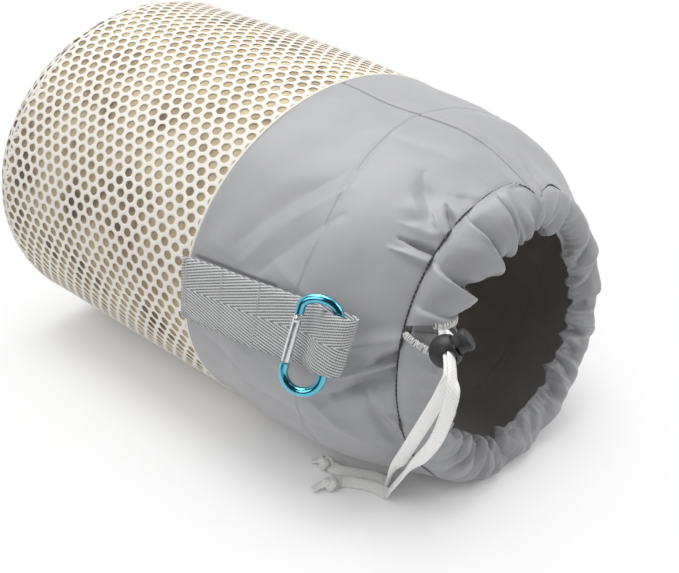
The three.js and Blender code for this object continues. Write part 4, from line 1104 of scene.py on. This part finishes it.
# Cord lock: a moulded ball of half-matt black acetal, with a hole through it for both cords and
# a spring button in its top; squeezing the button in lines up the holes and frees the cord.
BALL_RADIUS = 8
BUTTON_TRAVEL = 2.5
EDGE_ANGLE = 35
HOLE_REACH = 14
HOLE_WIDTH, HOLE_HEIGHT = 7.8, 5.8
SLOT_WIDTH, SLOT_HEIGHT = 8.0, 5.6


def lathed(name, outline, steps, frame_of):
    """Turned piece from (radius, height) corners, set up on an axis by the frame."""
    outline = np.asarray(outline, float)
    turn = np.linspace(0, 2 * np.pi, steps, endpoint=False)
    points = np.stack(np.broadcast_arrays(
        outline[:, :1] * np.cos(turn), outline[:, :1] * np.sin(turn), outline[:, 1:]), -1)
    points = points @ np.array(frame_of[:3]) + frame_of[3]
    piece = add_mesh(name, points, grid_faces(len(outline), steps, closed=True))
    turn_faces_out(piece, weld=True)
    return piece


def cut_away(piece, tool):
    """Takes the tool's shape out of a piece."""
    made = piece.modifiers.new("cut", "BOOLEAN")
    made.operation = "DIFFERENCE"
    made.object = tool
    settle(piece, made)
    bpy.data.objects.remove(tool)


lock_black = mottled(
    "black_acetal", 260.0, 4.0, ((0.3, (0.016, 0.016, 0.017)), (0.75, (0.028, 0.028, 0.030))),
    ((0.3, (0.40,) * 3), (0.75, (0.55,) * 3)), Roughness=0.45, Specular_IOR_Level=0.45)

lock_frame = (lock_way, lock_side, lock_up, lock_middle)
ball_low, ball_high = math.radians(-67.7), math.radians(43.4)
ball = lathed("lock_ball", [
    (0, -7.4), *[(BALL_RADIUS * math.cos(a), BALL_RADIUS * math.sin(a))
                 for a in np.linspace(ball_low, ball_high, 26)],
    (5.55, 5.6), (5.15, 5.45), (5.0, 5.0), (5.0, -5.2), (3.4, -5.2), (3.4, -6.6), (0, -6.6)],
    56, lock_frame)
hole_line = [lock_point(PAIR_LEVEL, along) for along in (-HOLE_REACH, HOLE_REACH)]
hole_tool = swept("hole_tool", hole_line, [lock_side] * 2, HOLE_WIDTH, HOLE_HEIGHT, sides=24)
cut_away(ball, hole_tool)
button = lathed("lock_button", [
    (0, -2.4), (4.3, -2.4), (4.7, -2.0), (4.7, 9.2), (4.9, 9.4), (5.3, 9.6), (5.5, 10.1), (5.5, 11.7),
    (5.2, 12.4), (4.4, 12.9), (2.6, 13.0), (2.3, 12.8), (0, 12.7)], 48, lock_frame)
slot_level = PAIR_LEVEL + BUTTON_TRAVEL / 2
slot_line = [lock_point(slot_level, along) for along in (-HOLE_REACH, HOLE_REACH)]
hole_tool = swept("hole_tool", slot_line, [lock_side] * 2, SLOT_WIDTH,
                  SLOT_HEIGHT + BUTTON_TRAVEL, sides=24)
cut_away(button, hole_tool)
for piece, node, holder in (
        (ball, "cord_lock_ball", "cord_lock"), (button, "cord_lock_plunger", "lock_plunger")):
    shade_smooth(piece.data)
    piece.data.set_sharp_from_angle(angle=math.radians(EDGE_ANGLE))
    dress(piece, node, lock_black, holder)

# Webbing strap: 32 mm silver-grey polyester webbing with a chevron weave, folded double round
# the carabiner's spine; its two ends are sewn into the collar seam and bar-tacked to the cloth.
STRAP_WIDTH = 32
STRAP_THICK = 1.6


def strap_frame(reach):
    """Point, length way, outward way and width way of the strap's line on the bag."""
    sewn = min(reach, STRAP_SEWN)
    x = COLLAR_SEAM_X + 0.3 + sewn
    slope = math.radians(STRAP_ANGLES[1] - STRAP_ANGLES[0]) / STRAP_SEWN
    angle = math.radians(STRAP_ANGLES[0]) + slope * sewn
    along = bag_wall(x + 2, angle + slope * 2) - bag_wall(x - 2, angle - slope * 2)
    along /= np.linalg.norm(along)
    round_bag = bag_wall(x, angle - 0.02) - bag_wall(x, angle + 0.02)
    out = np.cross(along, round_bag)
    out *= -np.sign(out[1]) / np.linalg.norm(out)
    up = np.cross(out, along)
    up *= np.sign(up[2]) / np.linalg.norm(up)
    return bag_wall(x, angle) + along * (reach - sewn), along, out, up


STRAP_LENGTH = 113
STRAP_SKEW = 6
STRAP_TAPER = 3
SPINE_REACH = STRAP_LENGTH - 9.5
LOW_LEVEL = 1.2
SPINE_LEVEL = 5.6
LOOP_RADIUS = SPINE_LEVEL - LOW_LEVEL
LOOP_END = STRAP_LENGTH - STRAP_THICK / 2 - LOOP_RADIUS
TOP_LEVEL = 3.1
STRAP_EDGE = 0.55
STRAP_POINTS = 9


def strap_free(reach):
    """Share of the strap's free end up to a reach."""
    return np.clip((reach - STRAP_SEWN) / (STRAP_LENGTH - STRAP_SEWN), 0, 1)


def strap_slope(reach):
    """Lean of the strap's folded end: mm along the strap for each mm of its width."""
    return strap_free(reach) * STRAP_SKEW / STRAP_WIDTH


ramp = drawn_curve([(SPINE_REACH - back, level) for back, level in (
    (4, SPINE_LEVEL + LOOP_RADIUS), (7, 8.0), (11, 5.1), (15, TOP_LEVEL))], 4)
strap_line = np.array([
    *[(reach, LOW_LEVEL) for reach in np.linspace(0.3, LOOP_END, 30)],
    *[(LOOP_END + LOOP_RADIUS * math.cos(a), SPINE_LEVEL + LOOP_RADIUS * math.sin(a))
      for a in np.radians(np.linspace(-75, 75, 11))],
    (LOOP_END, SPINE_LEVEL + LOOP_RADIUS), (SPINE_REACH, SPINE_LEVEL + LOOP_RADIUS), *ramp,
    *[(reach, TOP_LEVEL) for reach in np.linspace(SPINE_REACH - 18, 0.3, 24)]])
face_across = np.linspace(-1, 1, STRAP_POINTS)
strap_corners = [(across, -1) for across in face_across] + [(across, 1) for across in face_across[::-1]]
strap_rows = []
for k, (reach, level) in enumerate(strap_line):
    before, after = strap_line[max(0, k - 1)], strap_line[min(len(strap_line) - 1, k + 1)]
    run = (after - before) / np.linalg.norm(after - before)
    row = []
    for across, face in strap_corners:
        half = STRAP_THICK / 2 * (STRAP_EDGE if abs(across) == 1 else 1)
        point, along, out, up = strap_frame(reach - run[1] * half * face)
        half_width = (STRAP_WIDTH - STRAP_TAPER * strap_free(reach)) / 2
        wide = (up + along * strap_slope(reach)) * across * half_width
        row.append(point + out * (level + run[0] * half * face) + wide)
    strap_rows.append(row)
strap_points = np.array(strap_rows)
rows, corners = strap_points.shape[:2]
strap_faces = [list(f) for f in grid_faces(rows, corners, closed=True)]
strap_faces += [list(range(corners)), [(rows - 1) * corners + k for k in range(corners)][::-1]]
strap = add_mesh("webbing_strap_woven", strap_points, strap_faces)
strap_run = np.concatenate([[0], np.cumsum(np.linalg.norm(np.diff(strap_line, axis=0), axis=1))])
strap_across = np.array(strap_corners)[:, 0] * STRAP_WIDTH / 2
lay_flat(strap, np.stack(np.broadcast_arrays(strap_run[:, None], strap_across), -1))
turn_faces_out(strap)

RIB_PITCH = 0.00150
PICK_PITCH = 0.0011
webbing, tree, shader = new_finish(
    "chevron_webbing", Roughness=0.55, Sheen_Weight=0.3, Specular_IOR_Level=0.4)
cut = first_of(tree, "ShaderNodeUVMap", uv_map=FLAT_CUT)
along, across = put(tree, "ShaderNodeSeparateXYZ", {0: cut}).outputs[:2]
slope = reckon(tree, "MULTIPLY", along, math.tan(math.radians(16)))
fold_line = reckon(tree, "ADD", reckon(tree, "ABSOLUTE", across), slope)
rib = reckon(tree, "SINE", reckon(tree, "MULTIPLY", fold_line, 2 * math.pi / RIB_PITCH))
rib = reckon(tree, "MULTIPLY_ADD", rib, 0.5, 0.5)
pick = reckon(tree, "SINE", reckon(tree, "MULTIPLY", along, 2 * math.pi / PICK_PITCH))
pick = reckon(tree, "MULTIPLY_ADD", pick, 0.5, 0.5)
lint = put(tree, "ShaderNodeTexNoise", {"Vector": cut, "Scale": 900.0, "Detail": 3.0}).outputs["Fac"]
height = reckon(tree, "ADD", rib, reckon(tree, "MULTIPLY", pick, 0.25))
height = reckon(tree, "MULTIPLY_ADD", lint, 0.45, reckon(tree, "MULTIPLY", height, 0.7))
# Painted shade and highlight: the colour follows the weave's height. It is near black in the grooves
# between the ribs, which is painted shade, and pale on the rib crests, which is painted highlight.
tint = shades(tree, height, (0.28, (0.085, 0.086, 0.088)), (0.60, (0.43, 0.433, 0.436)),
              (0.95, (0.68, 0.685, 0.69)))
tint_and_emboss(tree, shader, tint, height, 0.8, 0.0006)
dress(strap, "webbing_strap", webbing)

# Bar tacks: close rows of grey thread across the strap, through both layers into the collar.
# Two lie by the net seam, one halfway and one where the strap comes free.
TACK_LEVEL = 3.95
TACK_HALF = 14.5
tack_reaches = (2.2, 3.8, 30.6, 56.2)
grey_thread = mottled(
    "grey_thread", 2500.0, 2.0,
    ((0.3, (0.40, 0.40, 0.41)), (0.7, (0.62, 0.62, 0.63))), Roughness=0.55)
for number, reach in enumerate(tack_reaches):
    point, along, out, up = strap_frame(reach)
    tack_line = [point + out * TACK_LEVEL + up * across
                 for across in np.linspace(-TACK_HALF, TACK_HALF, 12)]
    stitch_row(f"strap_tack_{number}", tack_line, spacing=1.7, length=1.9, radius=0.38,
               finish=grey_thread)

# Carabiner: a bent rod of blue anodised aluminium with a plain silver gate, hinged on a rivet at
# the top and sprung shut; its spine sits in the strap's eye.
ROD = 4.6
ROD_EDGE_ANGLE = 40
TONGUE_THICK = 2.0
FORK_GAP = 2.6
SPACING = 18.6
CROWN = 6.5
TOP_BEND_Q = 12.5
LOW_BEND_Q = -18.6
GATE_HINGE_Q = 6.5
ARM_END_Q = GATE_HINGE_Q + ROD / 2 + 0.4
GATE_END_Q = -15.8
NOSE_Q = GATE_END_Q - 0.4
LATCH_Q = GATE_END_Q + 2.8
CARABINER_TILT = math.radians(25)
seat, seat_way, seat_out, seat_up = strap_frame(SPINE_REACH)
carabiner_middle = seat + seat_out * SPINE_LEVEL
spine_up = seat_up + seat_way * strap_slope(SPINE_REACH)
spine_up /= np.linalg.norm(spine_up)
to_gate = seat_out * math.sin(CARABINER_TILT) - seat_way * math.cos(CARABINER_TILT)
to_gate -= spine_up * (to_gate @ spine_up)
to_gate /= np.linalg.norm(to_gate)
through = np.cross(to_gate, spine_up)


def in_carabiner(p, q, r=0.0):
    """Point by distance to the gate, up the spine and through the plate."""
    return carabiner_middle + np.outer(p, to_gate) + np.outer(q, spine_up) + np.outer(r, through)


blue = mottled(
    "blue_anodised", 180.0, 5.0, ((0.3, (0.09, 0.43, 0.58)), (0.75, (0.15, 0.55, 0.69))),
    ((0.3, (0.14,) * 3), (0.8, (0.24,) * 3)), Metallic=1.0, Roughness=0.24, Coat_Weight=0.2)

silver = mottled(
    "plain_aluminium", 240.0, 5.0, ((0.3, (0.66, 0.68, 0.70)), (0.75, (0.82, 0.84, 0.86))),
    ((0.3, (0.2,) * 3), (0.8, (0.36,) * 3)), Metallic=1.0, Roughness=0.25)

bend = SPACING / 2
rod_line = np.array([
    (SPACING, NOSE_Q), (SPACING, (NOSE_Q + LOW_BEND_Q) / 2),
    *[(bend + bend * math.cos(a), LOW_BEND_Q + bend * math.sin(a)) for a in np.linspace(0, -np.pi, 29)],
    *[(0, q) for q in np.linspace(LOW_BEND_Q, TOP_BEND_Q, 8)[1:-1]],
    *[(bend + bend * math.cos(a), TOP_BEND_Q + CROWN * math.sin(a)) for a in np.linspace(np.pi, 0, 29)],
    (SPACING, ARM_END_Q)])
body = swept("carabiner_rod", in_carabiner(rod_line[:, 0], rod_line[:, 1]),
             [through] * len(rod_line), ROD, ROD, sides=28, softness=2.0)
tongue_line = in_carabiner([SPACING, SPACING], [GATE_HINGE_Q - 1.6, ARM_END_Q + 0.8])
hinge_tongue = swept("carabiner_hinge_tongue", tongue_line, [to_gate] * 2, 3.7, TONGUE_THICK,
                     sides=16, softness=6)
tongue_line = in_carabiner([SPACING - 0.4, SPACING - 0.4], [NOSE_Q - 0.8, LATCH_Q - 0.9])
nose_tongue = swept("carabiner_nose_tongue", tongue_line, [to_gate] * 2, 2.8, TONGUE_THICK,
                    sides=16, softness=6)
for piece, finish in ((body, blue), (hinge_tongue, silver), (nose_tongue, silver)):
    piece.data.set_sharp_from_angle(angle=math.radians(ROD_EDGE_ANGLE))
    dress(piece, "carabiner_body", finish, "carabiner")

gate_frame = (to_gate, -through, spine_up, in_carabiner([SPACING], [0])[0])
half_rod = ROD / 2
gate = lathed("carabiner_gate_rod", [
    (0, GATE_END_Q), (half_rod - 0.35, GATE_END_Q), (half_rod, GATE_END_Q + 0.35), (half_rod, 1.0),
    *[(half_rod * math.cos(a), GATE_HINGE_Q + half_rod * math.sin(a))
      for a in np.linspace(0, np.pi / 2, 9)]], 40, gate_frame)
for low, high in ((GATE_HINGE_Q - 2.5, GATE_HINGE_Q + 6), (GATE_END_Q - 5, LATCH_Q + 3.0)):
    slot_line = in_carabiner([SPACING] * 2, [low, high])
    slot_tool = swept("slot_tool", slot_line, [to_gate] * 2, 14, FORK_GAP, sides=8, softness=40)
    cut_away(gate, slot_tool)
shade_smooth(gate.data)
gate.data.set_sharp_from_angle(angle=math.radians(EDGE_ANGLE))
dress(gate, "carabiner_gate", silver, "gate")
rivet_frame = (to_gate, spine_up, through, in_carabiner([SPACING], [GATE_HINGE_Q])[0])
rivet = lathed("carabiner_rivet_headed", [
    (0, -3.2), (0.9, -3.15), (1.45, -2.9), (1.5, -2.6), (0.8, -2.5), (0.8, 2.5), (1.5, 2.6),
    (1.45, 2.9), (0.9, 3.15), (0, 3.2)], 28, rivet_frame)
dress(rivet, "carabiner_rivet", silver, "carabiner")

# Springs, pusher and latch pin: small steel parts inside the lock and the gate. The lock's spring
# is wound here, because it shortens as the button goes in; the others are kept as they are.
steel = mottled(
    "spring_steel", 500.0, 3.0, ((0.3, (0.52, 0.52, 0.54)), (0.75, (0.70, 0.70, 0.72))),
    Metallic=1.0, Roughness=0.3)
SPRING_LOW, SPRING_HIGH = -6.25, -2.8
SPRING_RADIUS = 2.6
SPRING_TURNS = 2.5
SPRING_WIRE = 0.6
wound = np.linspace(0, 1, 61)[:, None]
spring_turn = wound * SPRING_TURNS * 2 * np.pi
coil = np.cos(spring_turn) * lock_way + np.sin(spring_turn) * lock_side
spring_line = (lock_middle + SPRING_RADIUS * coil
               + (SPRING_LOW + wound * (SPRING_HIGH - SPRING_LOW)) * lock_up)
lock_spring = swept("lock_spring", spring_line, np.tile(lock_up, (len(wound), 1)),
                    SPRING_WIRE, SPRING_WIRE, sides=8, softness=2)
lock_spring.data.materials.append(steel)
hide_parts("cord_lock_spring")
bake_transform(lock_spring)
for node in ("carabiner_gate_spring", "carabiner_pusher", "carabiner_latch_pin"):
    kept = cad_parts[node]
    kept.data.materials.clear()
    kept.data.materials.append(steel)

# Floor, backdrop and light: a white sweep of paper under soft light from above, as for a product
# picture. The paper glows white where it is seen, less so near the middle. An occlusion test takes that
# glow away close to the bag, which paints a soft contact shadow there, and the lamps' own shadow shows
# where the glow is gone.
FLOOR_FAR, FLOOR_FRONT, FLOOR_RIGHT = 4000, 800, 900
floor = add_mesh("floor", [
    (-FLOOR_FAR, -FLOOR_FRONT, 0), (FLOOR_RIGHT, -FLOOR_FRONT, 0), (FLOOR_RIGHT, FLOOR_FAR, 0),
    (-FLOOR_FAR, FLOOR_FAR, 0)], [[0, 1, 2, 3]])
floor_white, tree, shader = new_finish("floor_paper", Roughness=0.9, Specular_IOR_Level=0.1)
shader.inputs["Base Color"].default_value = (0.9, 0.9, 0.9, 1)


def seen_directly(tree):
    """1 for what the camera sees, straight or by way of metal and glass, and 0 for soft light."""
    path = put(tree, "ShaderNodeLightPath").outputs
    mirrored = reckon(tree, "MAXIMUM", path["Is Glossy Ray"], path["Is Transmission Ray"])
    return reckon(tree, "MAXIMUM", path["Is Camera Ray"], mirrored)


PAPER_SHARE = 0.72
paper = first_of(tree, "ShaderNodeEmission", {"Color": (1, 1, 1, 1), "Strength": 1.0})
# Painted shade: the occlusion test below darkens the paper's glow near the bag, as a contact shadow.
open_sky = put(tree, "ShaderNodeAmbientOcclusion", {"Distance": 0.05}).outputs["AO"]
place = put(tree, "ShaderNodeTexCoord").outputs["Object"]
away = put(tree, "ShaderNodeVectorMath", {0: place}, operation="LENGTH").outputs["Value"]
paper_share = first_of(tree, "ShaderNodeMapRange", {
    "Value": away, "From Min": 0.1, "From Max": 0.5, "To Min": PAPER_SHARE, "To Max": 1.0})
open_share = reckon(tree, "MULTIPLY", open_sky, paper_share)
lit_share = reckon(tree, "MULTIPLY", seen_directly(tree), open_share)
lit_paper = first_of(tree, "ShaderNodeMixShader", {
    0: lit_share, 1: shader.outputs[0], 2: paper})
tree.links.new(lit_paper, tree.nodes["Material Output"].inputs["Surface"])
floor.data.materials.append(floor_white)

# White all round; in the metal the side of the room where the picture is taken from is dark.
world = bpy.data.worlds.new("studio")
scene.world = world
world.use_nodes = True
tree = world.node_tree
tree.nodes.clear()
outward = put(tree, "ShaderNodeTexCoord").outputs["Generated"]
DARK_SIDE = (0.62, -0.62, 0.48)
to_dark_side = put(
    tree, "ShaderNodeVectorMath", {0: outward, 1: DARK_SIDE}, operation="DOT_PRODUCT")
dark_share = reckon(tree, "MULTIPLY_ADD", to_dark_side.outputs["Value"], 0.5, 0.5)
room = shades(tree, dark_share, (0.54, (1, 1, 1)), (0.76, (0.05, 0.05, 0.06)))
soft = first_of(tree, "ShaderNodeBackground", {"Color": (1, 1, 1, 1), "Strength": 0.25})
in_picture = put(tree, "ShaderNodeLightPath").outputs["Is Camera Ray"]
paper = first_of(tree, "ShaderNodeBackground", {
    "Color": (1, 1, 1, 1), "Strength": reckon(tree, "MAXIMUM", in_picture, room)})
mixed = first_of(tree, "ShaderNodeMixShader", {0: seen_directly(tree), 1: soft, 2: paper})
put(tree, "ShaderNodeOutputWorld", {"Surface": mixed})


def soft_box(name, place, aim, size, power):
    """Square lamp with a soft edge, aimed at a point; all in metres."""
    lamp = bpy.data.lights.new(name, "AREA")
    lamp.size = size
    lamp.energy = power
    holder = bpy.data.objects.new(name, lamp)
    holder.location = place
    holder.rotation_euler = (Vector(aim) - Vector(place)).to_track_quat("-Z", "Y").to_euler()
    scene.collection.objects.link(holder)


soft_box("top_light", (-0.25, 0.1, 1.6), (0.0, 0.0, 0.05), 1.3, 23)
soft_box("front_light", (0.25, -1.2, 1.0), (0.05, 0.0, 0.05), 0.9, 5.6)
soft_box("side_light", (1.0, 0.7, 0.9), (0.1, 0.0, 0.08), 0.8, 4)

lens = bpy.data.cameras.new("view")
camera = bpy.data.objects.new("view", lens)
scene.collection.objects.link(camera)
camera_turn, camera_rise = math.radians(45.1), math.radians(28.5)
camera.location = (0.5025, -0.4771, 0.4266)
level = math.cos(camera_rise)
back = Vector((
    math.sin(camera_turn) * level, -math.cos(camera_turn) * level, math.sin(camera_rise)))
camera.rotation_euler = (-back).to_track_quat("-Z", "Y").to_euler()
lens.sensor_width = 36
lens.lens = 70.2
lens.clip_end = 20
scene.camera = camera
scene.view_settings.view_transform = "Standard"
